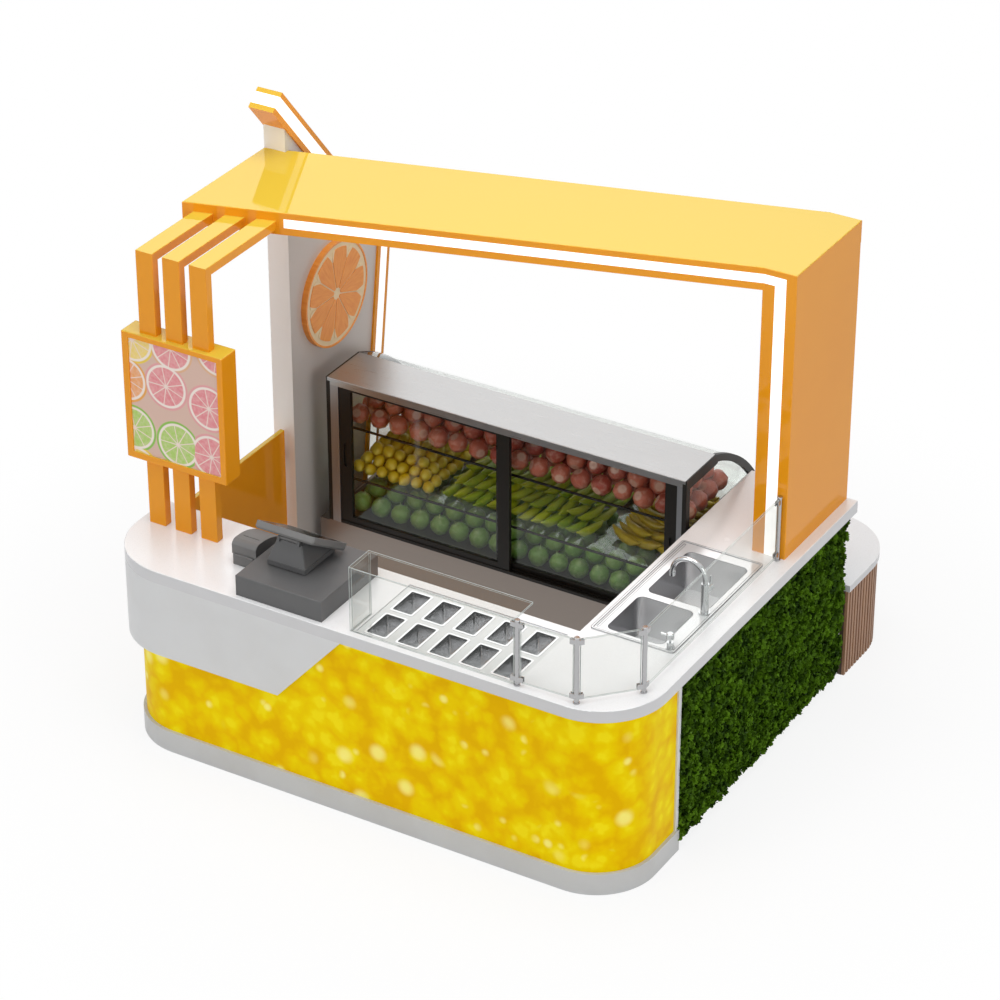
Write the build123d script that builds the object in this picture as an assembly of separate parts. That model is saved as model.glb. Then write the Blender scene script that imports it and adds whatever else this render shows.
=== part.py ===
from build123d import *
import math
import os

# Juice bar kiosk: a counter island with a staff gate, a canopy carried by three posts, a leg and a
# tower, a display case with two sliding doors, a topping station, a sink and a pay point.
# Millimetres. +Z is up and the customers' front is at -Y. The origin is the middle of the
# footprint, on the floor.

# Counter, measured on the working height of a standing counter
COUNTER_H = 970.0
TOP_T = 60.0
UNDER_TOP = COUNTER_H - TOP_T
TOP_LEFT, TOP_RIGHT, TOP_FRONT, TOP_BACK = -1368.0, 1402.0, -1375.0, -830.0
TOP_R = 325.0
PANEL_LEFT, PANEL_RIGHT, PANEL_FRONT, PANEL_R = -1284.0, 1362.0, -1357.0, 285.0
PANEL_T = 10.0
PANEL_END = -875.0
BOARD = 18.0
CARCASS_BACK = -850.0
BASE_H = 118.0
PLINTH_OUT, PLINTH_H = 16.0, 112.0
SHELF_Z = 500.0
APRON_Z = 522.0
APRON_SLANT = (-395.0, -53.0)
DIVIDERS = (-691.0, -173.0, 345.0, 857.0)

# Right counter
RIGHT_INNER, RIGHT_END = 846.0, 805.0
RIGHT_X0, RIGHT_X1, RIGHT_Y1 = 866.0, 1327.0, 795.0
SINK_BAY_END = 82.0
MOSS_T = 54.0
MOSS_Y, MOSS_Z = (-848.0, 760.0), (45.0, 908.0)

# Canopy: the roof is level, and skewed in plan
ROOF_Z0, ROOF_Z1 = 2298.0, 2408.0
ROOF_PLAN = ((-1363, -593), (1189, 162), (1348, 162), (1348, 800), (1189, 800), (-1363, 69))
ROOF_SKEW = (162 + 593) / (1189 + 1363)
LIGHT_T = 12.0
LIGHT_Z = (2333.0, 2377.0)
LIGHT_START = -906.0
LEG_X = (1181.0, 1348.0)
LEG_Y = (162.0, 800.0)
LEG_LIGHT_X = (1242.0, 1297.0)
POST_LEFTS = (-1315.0, -1172.0, -1029.0)
POST_W, POST_T = 90.0, 45.0
POST_FRONT = -1025.0
POST_TOP = 2365.0
SIGN_X, SIGN_Y, SIGN_Z = (-1402.0, -857.0), (-1050.0, -935.0), (1305.0, 1953.0)
FACE_X, FACE_Z = (-1366.0, -886.0), (1340.0, 1927.0)

# Tower: its edge line in (y, z) runs from the cap down the slope to the back corner and the foot
TOWER_LINE = (Vector(51, 2720), Vector(951, 1649), Vector(732, 0))
TOWER_X = (-1366.0, -1249.0)
TRIM_X = (-1373.0, -1238.0)
TOWER_FRONT = 75.0
TRIM_LAYERS = (0.0, 24.0, 82.0, 108.0)
CITRUS_Y, CITRUS_Z = 434.0, 1523.0
CITRUS_R, CITRUS_T, CITRUS_RIM, CITRUS_CORE = 270.0, 30.0, 10.0, 30.0
SEGMENTS = 9

# Staff gate
GATE_X, GATE_Y, GATE_Z = (-1316.0, -1291.0), (-815.0, 55.0), (120.0, 935.0)
GATE_AXIS = (-1322.0, 65.0)
HINGE_Z = (250.0, 740.0)
KNUCKLE_R, PIN_R, PIN_PLAY = 7.0, 3.0, 0.06

# Display case, with its arc of glass in (y, z)
CASE_X = (-1138.0, 823.0)
CASE_FRONT, CASE_BACK, CASE_TOP = 195.0, 1070.0, 1205.0
CASE_TOP_T = 18.0
CASE_LIP_Z, CASE_LIP_T = 1168.0, 3.0
END_LIP = 7.0
CASE_TOP_BACK = 484.0
ARC_Y, ARC_Z, ARC_R = 200.0, 372.0, 880.0
GLASS_T = 8.0
DECK_Z = (400.0, 412.0)
END_T, END_BAR = 22.0, 35.0
JAMB_X = (-1071.0, 774.0)
TRACK_LIPS = ((195.0, 198.0), (222.0, 226.0), (250.0, 254.0))
TRACK_BACK = 254.0
FRONT_DOOR_Y, REAR_DOOR_Y = (199.0, 221.0), (227.0, 249.0)
LEFT_DOOR_X, RIGHT_DOOR_X = (-1069.0, -120.0), (-208.0, 772.0)
DOOR_Z = (417.3, 1176.0)
STILE, WIDE_STILE, RAIL, TOP_RAIL = 64.0, 76.0, 40.0, 20.0
SHELF_TIERS = ((640.0, 262.0, 1010.0, 1020.0), (905.0, 292.0, 870.0, 890.0))
CASE_BASE_LEFT = -1198.0

# Rear ledge
LEDGE_TOP, LEDGE_T = 505.0, 35.0
LEDGE_X, LEDGE_Y = (-1343.0, 1392.0), (795.0, 1375.0)
LEDGE_R = 335.0
LEDGE_IN = 22.0
LEDGE_LEFT_FRONT = 835.0
SLAT_W, SLAT_PITCH, SLAT_OUT = 18.0, 30.0, 14.0

# Topping station
TRAY_X, TRAY_Y = (2.0, 817.0), (-1325.0, -880.0)
TRAY_T, TRAY_DROP = 12.0, 6.0
WELL_Z = 830.0
PAN_ROWS = (-1220.0, -1005.0)
PAN_FIRST, PAN_PITCH, PAN_COLUMNS = 90.0, 161.25, 5
PAN_TOP, PAN_FOOT, PAN_DEPTH, PAN_WALL = (101.0, 171.0), (87.0, 157.0), 98.0, 1.5

# Guard
GUARD_TOP, GUARD_POST_TOP = 1290.0, 1302.0
GUARD_T = 8.0
GUARD_LEFT, GUARD_FRONT, GUARD_BACK = -14.0, -1338.0, -1180.0
POST_A, POST_B = Vector(829, -1338), Vector(1116, -1330)
POST_C, POST_D = Vector(1322, -1110), Vector(1318, 146)
GUARD_POST_R = 11.0
CLAMP_Z = (1004.0, 1277.0)
GRIP = 16.0

# Sink
SINK_X, SINK_Y = (874.0, 1287.0), (-784.0, 75.0)
SINK_RIM, SINK_DECK, RIM_W = COUNTER_H + 5.5, COUNTER_H + 3.0, 9.0
BOWLS = ((932.0, 1215.0, -752.0, -440.0), (940.0, 1252.0, -395.0, 5.0))
BOWL_DEPTH, BOWL_R, BOWL_WALL = 200.0, 34.0, 2.0
DRAIN_R = 42.0
FAUCET_X, FAUCET_Y = 1250.0, -425.0
SPOUT_R, SPOUT_BEND, SPOUT_Z = 12.0, 82.0, 1143.0
SPOUT_FOOT, NOZZLE_Z = 1112.3, 1120.0
LEVER_Z = 1082.0
SOAP_X, SOAP_Y = 1254.0, -750.0

# Pay point
TILL_X, TILL_Y, TILL_Z = (-616.0, -163.0), (-1350.0, -885.0), (970.0, 1075.0)
TILL_WALL = 6.0
SCREEN_W, SCREEN_L, SCREEN_T = 310.0, 310.0, 36.0
SCREEN_AT = (-444.0, -1075.0, 1189.0)
SCREEN_TILT = -32.5
HINGE_ALONG, HINGE_R = -90.0, 9.0
STAND_Y = (-1205.0, -950.0)
PRINTER_X, PRINTER_Y, PRINTER_Z = (-780.0, -650.0), (-1137.0, -915.0), (970.0, 1026.0)
COVER_EDGE, COVER_TOP, COVER_LOW = 1074.0, 1094.0, 1034.0

PIECES = {}


def keep(name, *solids):
    """File one piece under its name; like solids that belong together share a name."""
    PIECES[name] = solids[0] if len(solids) == 1 else Compound(list(solids))


def block(x0, x1, y0, y1, z0, z1):
    """Box between two corners."""
    return Pos((x0 + x1) / 2, (y0 + y1) / 2, (z0 + z1) / 2) * Box(x1 - x0, y1 - y0, z1 - z0)


def drawn(*points):
    """Face inside a closed line of points."""
    return make_face(Polyline(*points, close=True))


def raised(face, z0, z1):
    """Plan face carried up from z0 to z1."""
    return extrude(Pos(0, 0, z0) * face, amount=z1 - z0, dir=(0, 0, 1))


def across(face, x0, x1):
    """Face drawn in (y, z) and carried along X from x0 to x1."""
    return extrude(Plane.YZ.offset(x0) * face, amount=x1 - x0, dir=(1, 0, 0))


def upright(x, y, radius, z0, z1):
    """Standing cylinder."""
    return Pos(x, y, (z0 + z1) / 2) * Cylinder(radius, z1 - z0)


def lying_y(x, z, radius, y0, y1):
    """Cylinder along Y."""
    return Pos(x, (y0 + y1) / 2, z) * Rot(90, 0, 0) * Cylinder(radius, y1 - y0)


def lying_x(y, z, radius, x0, x1):
    """Cylinder along X."""
    return Pos((x0 + x1) / 2, y, z) * Rot(0, 90, 0) * Cylinder(radius, x1 - x0)


def round_box(x0, x1, y0, y1, z0, z1, radius):
    """Box with rounded standing edges."""
    return fillet(block(x0, x1, y0, y1, z0, z1).edges().filter_by(Axis.Z), radius)


def round_front(left, right, front, back, radius, z0, z1):
    """Counter slab: straight along the staff side, rounded at its two front corners."""
    slab = block(left, right, front, back, z0, z1)
    return fillet(slab.edges().filter_by(Axis.Z).group_by(Axis.Y)[0], radius)


def panel_slab(grow, z0, z1, back=CARCASS_BACK):
    """Counter slab whose edge lies `grow` outside the face of the light panel."""
    left, right, front = PANEL_LEFT - grow, PANEL_RIGHT + grow, PANEL_FRONT - grow
    return round_front(left, right, front, back, PANEL_R + grow, z0, z1)


def make_front_counter():
    behind = CARCASS_BACK + 1
    inside = panel_slab(-PANEL_T - BOARD, BASE_H, UNDER_TOP, behind)
    wall = panel_slab(-PANEL_T, BASE_H, UNDER_TOP) - inside
    keep("front_counter_wall", wall)

    panels = []
    edges = [PANEL_LEFT + PANEL_T + BOARD]
    for middle in DIVIDERS:
        x0, x1 = middle - BOARD / 2, middle + BOARD / 2
        top = WELL_Z if TRAY_X[0] < middle < TRAY_X[1] else UNDER_TOP
        panels.append(block(x0, x1, PANEL_FRONT + PANEL_T + BOARD, CARCASS_BACK, BASE_H, top))
        edges += [x0, x1]
    for left, right in zip(edges[0::2], edges[1::2]):
        shelf = block(left, right, PANEL_FRONT, CARCASS_BACK - 20, SHELF_Z, SHELF_Z + BOARD)
        panels.append(shelf & inside)
    keep("front_counter_panels", *panels)

    skin = panel_slab(0, PLINTH_H, UNDER_TOP) - panel_slab(-PANEL_T, PLINTH_H, UNDER_TOP, behind)
    skin -= block(PANEL_RIGHT - 60, TOP_RIGHT, PANEL_END, behind, PLINTH_H, UNDER_TOP)
    keep("front_light_panel", skin)
    plinth = panel_slab(PLINTH_OUT, 2, PLINTH_H) - panel_slab(-PANEL_T, 2, PLINTH_H, behind)
    keep("plinth_band", plinth)

    # The apron hangs flush with the edge of the top and ends in a slant.
    apron = round_front(TOP_LEFT, TOP_RIGHT, TOP_FRONT, TOP_BACK, TOP_R, APRON_Z, UNDER_TOP)
    apron -= panel_slab(0, APRON_Z, UNDER_TOP, TOP_BACK + 1)
    low, high = APRON_SLANT
    slant = drawn((TOP_LEFT, APRON_Z), (low, APRON_Z), (high, UNDER_TOP), (TOP_LEFT, UNDER_TOP))
    apron &= extrude(Plane.XZ * slant, amount=2000, both=True)
    keep("front_apron", apron)

    top = round_front(TOP_LEFT, TOP_RIGHT, TOP_FRONT, TOP_BACK, TOP_R, UNDER_TOP, COUNTER_H)
    rim = top.faces().sort_by(Axis.Z)[-1].edges().filter_by_position(Axis.Y, TOP_FRONT, TOP_BACK - 1)
    top = fillet(rim, 4)
    top -= block(*TRAY_X, *TRAY_Y, UNDER_TOP - 1, COUNTER_H + 1)
    keep("front_countertop", top)


def make_right_counter():
    right_base = block(RIGHT_X0, RIGHT_X1, CARCASS_BACK, RIGHT_Y1, 0, BASE_H)
    right_base -= block(RIGHT_X0 + BOARD, RIGHT_X1 - BOARD, CARCASS_BACK + BOARD, RIGHT_Y1 - BOARD,
                        -1, BASE_H - BOARD)
    front_base = panel_slab(-PANEL_T, 0, BASE_H)
    front_base -= panel_slab(-PANEL_T - BOARD, -1, BASE_H - BOARD, CARCASS_BACK - BOARD)
    keep("counter_bases", front_base, right_base)

    inner = RIGHT_X1 - BOARD
    panels = [block(inner, RIGHT_X1, CARCASS_BACK, RIGHT_Y1, BASE_H, UNDER_TOP)]
    for y0 in (CARCASS_BACK, SINK_BAY_END, RIGHT_Y1 - BOARD):
        panels.append(block(RIGHT_X0, inner, y0, y0 + BOARD, BASE_H, UNDER_TOP))
    bay = (SINK_BAY_END + BOARD, RIGHT_Y1 - BOARD)
    panels.append(block(RIGHT_X0 + 20, inner, *bay, SHELF_Z, SHELF_Z + BOARD))
    keep("right_counter_panels", *panels)

    top = block(RIGHT_INNER, TOP_RIGHT, TOP_BACK, RIGHT_END, UNDER_TOP, COUNTER_H)
    rim = top.faces().sort_by(Axis.Z)[-1].edges().filter_by(Axis.Y)
    top = fillet(rim, 4)
    top -= block(SINK_X[0] + 16, SINK_X[1] - 12, SINK_Y[0] + 16, SINK_Y[1] - 16, 900, 980)
    keep("right_countertop", top)
    keep("moss_panel", block(RIGHT_X1, RIGHT_X1 + MOSS_T, *MOSS_Y, *MOSS_Z))
    trim = block(PANEL_RIGHT - PANEL_T, PANEL_RIGHT + PANEL_T, PANEL_END, MOSS_Y[0], PLINTH_H, MOSS_Z[1])
    outer = trim.edges().filter_by(Axis.Z).group_by(Axis.X)[-1]
    strip = block(RIGHT_X1, RIGHT_X1 + 22, MOSS_Y[1] + 2, RIGHT_Y1, 2, MOSS_Z[1])
    keep("corner_trim", fillet(outer, 5), strip)


def make_canopy():
    roof = raised(drawn(*ROOF_PLAN), ROOF_Z0, ROOF_Z1)
    fascia = roof
    roof = fillet(roof.faces().sort_by(Axis.Z)[-1].edges(), 4)
    roof -= block(TRIM_X[0] - 30, TOWER_X[1], TOWER_FRONT, TOWER_FRONT + 100, ROOF_Z0 - 1, ROOF_Z1 + 1)

    start = ROOF_PLAN[0][1] + ROOF_SKEW * (LIGHT_START - ROOF_PLAN[0][0])
    bend, face_y = ROOF_PLAN[1]
    line = ((LIGHT_START, start), (bend, face_y), (LEG_LIGHT_X[0], face_y))
    strip = drawn(*line, *[(x, y + LIGHT_T) for x, y in reversed(line)])
    along = raised(strip, *LIGHT_Z)
    down = block(*LEG_LIGHT_X, face_y, face_y + LIGHT_T, COUNTER_H, LIGHT_Z[1])
    keep("roof_beam", roof - along - down)
    keep("canopy_light_strip", along, down)

    leg = round_box(*LEG_X, *LEG_Y, COUNTER_H, ROOF_Z0, 4)
    keep("roof_leg", leg - down)

    # Each post rises, bends at the top and runs back to the skewed face of the roof.
    back, drop = POST_FRONT + POST_T, POST_TOP - POST_T
    bent = drawn((POST_FRONT, COUNTER_H), (back, COUNTER_H), (back, drop), (-400, drop),
                 (-400, POST_TOP), (POST_FRONT, POST_TOP))
    posts = []
    for left in POST_LEFTS:
        post = across(bent, left, left + POST_W)
        post = fillet(post.faces().filter_by(Axis.X).edges(), 3)
        posts.append((post - fascia).solids().sort_by(Axis.Y)[0])
    keep("canopy_posts", *posts)

    sign = fillet(block(*SIGN_X, *SIGN_Y, *SIGN_Z).edges(), 6)
    sign -= block(*FACE_X, SIGN_Y[0] - 1, SIGN_Y[0] + 12, *FACE_Z)
    for post in posts:
        sign -= post
    keep("sign_box_frame", sign)
    keep("sign_face", block(*FACE_X, SIGN_Y[0] + 6, SIGN_Y[0] + 12, *FACE_Z))


def tower_line(depth):
    """Edge line of the tower moved inward, square at the cap and level at the floor."""
    cap, bend, foot = TOWER_LINE
    slope = (bend - cap).normalized()
    back = (foot - bend).normalized()
    in_slope = Vector(slope.Y, -slope.X)
    in_back = Vector(back.Y, -back.X)
    corner = bend + (in_slope + in_back) * (depth / (1 + in_slope.dot(in_back)))
    end = foot + in_back * depth
    end = end - back * (end.Y / back.Y)
    return [cap + in_slope * depth, corner, end]


def make_tower():
    layers = []
    for outer, inner in zip(TRIM_LAYERS[:-1], TRIM_LAYERS[1:]):
        ring = drawn(*tower_line(outer), *reversed(tower_line(inner)))
        layers.append(across(ring, *TRIM_X))
    keep("tower_trim", layers[0], layers[2])
    keep("tower_light_strip", layers[1])

    cap, corner, end = tower_line(TRIM_LAYERS[-1])
    slope = (corner - cap).normalized()
    peak = cap + slope * ((TOWER_FRONT - cap.X) / slope.X)
    keep("tower_wall", across(drawn((TOWER_FRONT, 0), peak, corner, end), *TOWER_X))

    # Round citrus sign: rim and segments stand on a pale disc.
    side = Plane(origin=(TOWER_X[1], CITRUS_Y, CITRUS_Z), x_dir=(0, 1, 0), z_dir=(1, 0, 0))
    pith_r, pith_t = CITRUS_R - CITRUS_RIM, CITRUS_T - 3
    keep("citrus_pith", extrude(side * Circle(pith_r), amount=pith_t))
    flesh = [extrude(side * (Circle(CITRUS_R) - Circle(pith_r)), amount=CITRUS_T)]
    half = math.radians(180 / SEGMENTS)
    apex = 3.5 / math.sin(half)
    far = Vector(math.cos(half), math.sin(half)) * CITRUS_R
    wedge = drawn((apex, 0), (apex + far.X, far.Y), (apex + far.X, -far.Y)) & Circle(pith_r - 24)
    wedge -= Circle(CITRUS_CORE)
    corners = wedge.vertices().sort_by_distance((0, 0, 0))
    wedge = fillet(corners[-2:], 24)
    wedge = fillet(wedge.vertices().sort_by_distance((0, 0, 0))[:2], 4)
    for number in range(SEGMENTS):
        turned = Rot(0, 0, 360 / SEGMENTS * number) * wedge
        flesh.append(extrude(side.offset(pith_t) * turned, amount=3))
    keep("citrus_flesh", *flesh)


def make_gate():
    x, y = GATE_AXIS
    leaves, straps = [], []
    for foot in HINGE_Z:
        # Tower side: leaf, two end knuckles and the pin.
        low, high = foot + 25, foot + 55
        head = foot + 80
        leaf = block(TOWER_X[0] + 3, x + 6, TOWER_FRONT - 2.5, TOWER_FRONT, foot, head)
        for z0, z1 in ((foot, low - 0.5), (high + 0.5, head)):
            leaf += upright(x, y, KNUCKLE_R, z0, z1)
            leaf += block(x - 6, x + 6, y + 1, TOWER_FRONT - 2, z0, z1)
        leaf += upright(x, y, PIN_R, foot, head)
        leaves.append(leaf)
        # Gate side: strap with the middle knuckle, which turns on the pin.
        strap = block(GATE_X[0] - 3, GATE_X[0], y - 85, y - 7, low, high)
        strap += block(x - 1, GATE_X[0], y - 15, y - 4.5, low, high)
        strap += upright(x, y, KNUCKLE_R, low, high)
        straps.append(strap - upright(x, y, PIN_R + PIN_PLAY, low - 1, high + 1))
    stop = block(GATE_X[1] + 1, GATE_X[1] + 29, TOP_BACK, GATE_Y[0] + 20, 700, 740)
    stop += block(PANEL_LEFT, GATE_X[1] + 29, CARCASS_BACK, TOP_BACK + 1, 700, 740)
    keep("gate_hardware", *leaves, stop)
    panel = fillet(block(*GATE_X, *GATE_Y, *GATE_Z).edges(), 4)
    keep("staff_gate", panel, *straps)


def make_case_shell():
    left, right = CASE_X
    in_left, in_right = left + END_T, right - END_T
    under_top = CASE_TOP - CASE_TOP_T
    arc = Pos(ARC_Y, ARC_Z) * Circle(ARC_R)
    inner_arc = Pos(ARC_Y, ARC_Z) * Circle(ARC_R - GLASS_T)
    sill_top = ARC_Z + math.sqrt(ARC_R**2 - (CASE_BACK - ARC_Y) ** 2)
    glass_top = ARC_Z + math.sqrt(ARC_R**2 - (CASE_TOP_BACK - ARC_Y) ** 2)

    # Sheet steel base, open below, under an insulated deck with an upstand for the glass.
    base_y = (CASE_FRONT + 10, CASE_BACK - 2)
    base = block(CASE_BASE_LEFT, right, *base_y, 0, DECK_Z[0])
    base -= block(CASE_BASE_LEFT + 3, right - 3, base_y[0] + 3, base_y[1] - 3, -1, DECK_Z[0] - 3)
    deck = block(left, right, CASE_FRONT, CASE_BACK, *DECK_Z)
    deck += block(in_left, in_right, CASE_BACK - 30, CASE_BACK, DECK_Z[1], sill_top)
    keep("case_base", base, deck)
    grille = round_box(-250, 250, CASE_FRONT + 4, CASE_FRONT + 10, 30, 183, 2)
    for row in range(8):
        grille -= block(-232, 232, CASE_FRONT, CASE_FRONT + 10, 42 + 17 * row, 51 + 17 * row)
    keep("vent_grille", grille)

    # Curved customer glass, and end frames cut to the same arc.
    field = drawn((CASE_TOP_BACK, sill_top), (CASE_BACK + 20, sill_top),
                  (CASE_BACK + 20, CASE_TOP), (CASE_TOP_BACK, CASE_TOP))
    keep("case_curved_glass", across((arc - inner_arc) & field, in_left, in_right))
    end = drawn((CASE_FRONT, DECK_Z[1]), (CASE_BACK, DECK_Z[1]), (CASE_BACK, glass_top),
                (CASE_TOP_BACK, glass_top), (CASE_TOP_BACK, under_top), (CASE_FRONT, under_top)) & arc
    light = offset(end, amount=-END_BAR)
    frames, panes = [], []
    for x0, edge in ((left, left), (in_right, right - END_LIP)):
        frame = across(end - light, x0, x0 + END_T)
        frame += block(edge, edge + END_LIP, CASE_FRONT, CASE_TOP_BACK, under_top, CASE_TOP + 1.5)
        frames.append(frame)
        panes.append(across(light, x0 + 8, x0 + 14))
    keep("case_end_frames", *frames)
    keep("case_end_glass", *panes)

    # Steel top with a folded lip, which hides the head of the doors.
    top = block(left + END_LIP, right - END_LIP, CASE_FRONT, CASE_TOP_BACK, under_top, CASE_TOP)
    top = fillet(top.edges().filter_by(Axis.X).group_by(Axis.Y)[0].sort_by(Axis.Z)[-1], 3)
    lip = block(in_left, in_right, CASE_FRONT, CASE_FRONT + CASE_LIP_T, CASE_LIP_Z, under_top)
    keep("case_top_panel", top + lip)

    jambs = []
    for near, far in ((in_left, JAMB_X[0]), (JAMB_X[1], in_right)):
        jambs.append(block(near, far, CASE_FRONT, TRACK_BACK, DECK_Z[1], under_top) - lip)
    keep("case_jambs", *jambs)

    sill = block(*JAMB_X, CASE_FRONT, TRACK_BACK, DECK_Z[1], DECK_Z[1] + 5)
    header = block(*JAMB_X, CASE_FRONT + CASE_LIP_T, TRACK_BACK, under_top - 7, under_top)
    for y0, y1 in TRACK_LIPS:
        sill += block(*JAMB_X, y0, y1, DECK_Z[1] + 5, DECK_Z[1] + 16)
    for y0, y1 in TRACK_LIPS[1:]:
        header += block(*JAMB_X, y0, y1, under_top - 22, under_top - 7)
    keep("case_tracks", sill, header)

    # Each shelf: glass on a frame of two end bars and a front rail.
    frames, panes = [], []
    for z, front, glass_back, bar_back in SHELF_TIERS:
        frame = block(in_left, in_right, front, front + 8, z - 10, z)
        for x0 in (in_left, in_right - 12):
            frame += block(x0, x0 + 12, TRACK_BACK, bar_back, z - 25, z - 8)
        frames.append(frame)
        panes.append(block(in_left + 1, in_right - 1, front + 8, glass_back, z - 8, z))
    keep("case_shelf_frames", *frames)
    keep("case_shelf_glass", *panes)


def make_doors():
    for name, (x0, x1), (y0, y1), stile, pull_x in (
        ("left", LEFT_DOOR_X, FRONT_DOOR_Y, STILE, LEFT_DOOR_X[0] + STILE / 2),
        ("right", RIGHT_DOOR_X, REAR_DOOR_Y, WIDE_STILE, RIGHT_DOOR_X[1] - WIDE_STILE / 2),
    ):
        light = (x0 + STILE, x1 - stile), (DOOR_Z[0] + RAIL, DOOR_Z[1] - TOP_RAIL)
        frame = block(x0, x1, y0, y1, *DOOR_Z) - block(*light[0], y0 - 1, y1 + 1, *light[1])
        # Finger pull milled into the outer stile.
        slot = Pos(pull_x, 800) * SlotOverall(130, 22, 90)
        frame -= extrude(Plane.XZ.offset(-y0 - 8) * slot, amount=20)
        keep(f"door_{name}_frame", frame)
        middle = (y0 + y1) / 2
        keep(f"door_{name}_glass", block(*light[0], middle - 3, middle + 3, *light[1]))


def ledge_slab(grow, z0, z1):
    """Ledge slab whose edge lies `grow` outside the carcass, open where the case and tower stand."""
    x0, x1 = LEDGE_X[0] + LEDGE_IN - grow, LEDGE_X[1] - LEDGE_IN + grow
    back = LEDGE_Y[1] - LEDGE_IN + grow
    slab = block(x0, x1, LEDGE_Y[0], back, z0, z1)
    slab = fillet(slab.edges().filter_by(Axis.Z).group_by(Axis.Y)[-1], LEDGE_R - LEDGE_IN + grow)
    return slab - block(x0 - 1, CASE_BASE_LEFT, LEDGE_Y[0] - 1, LEDGE_LEFT_FRONT, z0 - 1, z1 + 1)


def ledge_station(run):
    """Place and outward turn on the carcass face after `run` millimetres from its right front end."""
    radius = LEDGE_R - LEDGE_IN
    x0, x1 = LEDGE_X[0] + LEDGE_IN, LEDGE_X[1] - LEDGE_IN
    back = LEDGE_Y[1] - LEDGE_IN
    side, bow, rear = back - radius - LEDGE_Y[0], radius * math.pi / 2, x1 - x0 - 2 * radius
    if run < side:
        return x1, LEDGE_Y[0] + run, 0
    run -= side
    for centre, first in ((x1 - radius, 0), (x0 + radius, 90)):
        if run < bow:
            turn = first + math.degrees(run / radius)
            across_x = radius * math.cos(math.radians(turn))
            return centre + across_x, back - radius + radius * math.sin(math.radians(turn)), turn
        run -= bow
        if first == 0:
            if run < rear:
                return x1 - radius - run, back, 90
            run -= rear
    return x0, back - radius - run, 180


def make_ledge():
    z1 = LEDGE_TOP - LEDGE_T
    case_bay = block(CASE_BASE_LEFT, CASE_X[1], LEDGE_Y[0] - 1, CASE_BACK, -1, z1 + 1)
    carcass = ledge_slab(0, 0, z1) - case_bay
    hollow = ledge_slab(-BOARD, -1, z1 - BOARD)
    hollow -= block(LEDGE_X[0], LEDGE_X[1], LEDGE_Y[0] - 1, LEDGE_Y[0] + BOARD, -2, z1)
    hollow -= block(LEDGE_X[0], CASE_BASE_LEFT, LEDGE_Y[0], LEDGE_LEFT_FRONT + BOARD, -2, z1)
    hollow -= block(CASE_BASE_LEFT - BOARD, CASE_X[1] + BOARD, LEDGE_Y[0] - 1, CASE_BACK + BOARD, -2, z1)
    keep("rear_ledge_carcass", carcass - hollow)
    top = ledge_slab(LEDGE_IN, z1, LEDGE_TOP)
    top -= block(CASE_X[0] - 6, CASE_X[1] + 6, LEDGE_Y[0] - 1, CASE_BACK + 5, z1 - 1, LEDGE_TOP + 1)
    top -= block(CASE_BASE_LEFT - 1, CASE_X[0], LEDGE_Y[0] - 1, LEDGE_LEFT_FRONT, z1 - 1, LEDGE_TOP + 1)
    keep("rear_ledge_top", top)

    radius = LEDGE_R - LEDGE_IN
    straight = (LEDGE_Y[1] - LEDGE_IN - radius - LEDGE_Y[0]) + (LEDGE_X[1] - LEDGE_X[0] - 2 * LEDGE_R)
    length = straight + radius * math.pi + (LEDGE_Y[1] - LEDGE_IN - radius - LEDGE_LEFT_FRONT)
    cladding = ledge_slab(4, 2, z1 - 2) - ledge_slab(0, 1, z1)
    slats = []
    for number in range(int((length - SLAT_W) // SLAT_PITCH) + 1):
        x, y, turn = ledge_station(SLAT_W / 2 + number * SLAT_PITCH)
        slat = Pos(2 + (SLAT_OUT - 2) / 2, 0, z1 / 2) * Box(SLAT_OUT - 2, SLAT_W, z1 - 4)
        slats.append(Pos(x, y, 0) * Rot(0, 0, turn) * slat)
    keep("slat_cladding", cladding + slats)


def make_topping_station():
    top = COUNTER_H - TRAY_DROP
    rim = top - TRAY_T
    well = block(*TRAY_X, *TRAY_Y, WELL_Z, rim)
    well -= block(TRAY_X[0] + 3, TRAY_X[1] - 3, TRAY_Y[0] + 3, TRAY_Y[1] - 3, WELL_Z + 3, rim + 1)
    keep("topping_well", well)

    tray = block(*TRAY_X, *TRAY_Y, rim, top)
    pans = []
    foot = top - PAN_DEPTH
    for y in PAN_ROWS:
        for column in range(PAN_COLUMNS):
            here = Pos(PAN_FIRST + PAN_PITCH * column, y, 0)
            hole = RectangleRounded(PAN_TOP[0] + 2, PAN_TOP[1] + 2, 10)
            tray -= here * raised(hole, rim - 1, top + 1)
            shell = loft([Pos(0, 0, foot) * RectangleRounded(*PAN_FOOT, 9),
                          Pos(0, 0, top) * RectangleRounded(*PAN_TOP, 9)], ruled=True)
            flange = RectangleRounded(PAN_TOP[0] + 17, PAN_TOP[1] + 17, 11)
            shell += raised(flange, top, top + 2)
            hollow_foot = [side - 2 * PAN_WALL for side in PAN_FOOT]
            hollow_top = [side - 2 * PAN_WALL for side in PAN_TOP]
            shell -= loft([Pos(0, 0, foot + PAN_WALL) * RectangleRounded(*hollow_foot, 7.5),
                           Pos(0, 0, top + 2) * RectangleRounded(*hollow_top, 7.5)], ruled=True)
            pans.append(here * shell)
    keep("topping_tray", tray)
    keep("topping_pans", *pans)


def guard_span(start, end):
    """Pane held between two posts, and the direction it runs in."""
    way = (end - start).normalized()
    middle = (start + end) * 0.5
    length = (end - start).length - 2 * GRIP
    turn = math.degrees(math.atan2(way.Y, way.X))
    z0 = COUNTER_H + 20
    pane = Pos(middle.X, middle.Y, (z0 + GUARD_TOP) / 2) * Rot(0, 0, turn)
    return pane * Box(length, GUARD_T, GUARD_TOP - z0), turn


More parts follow.
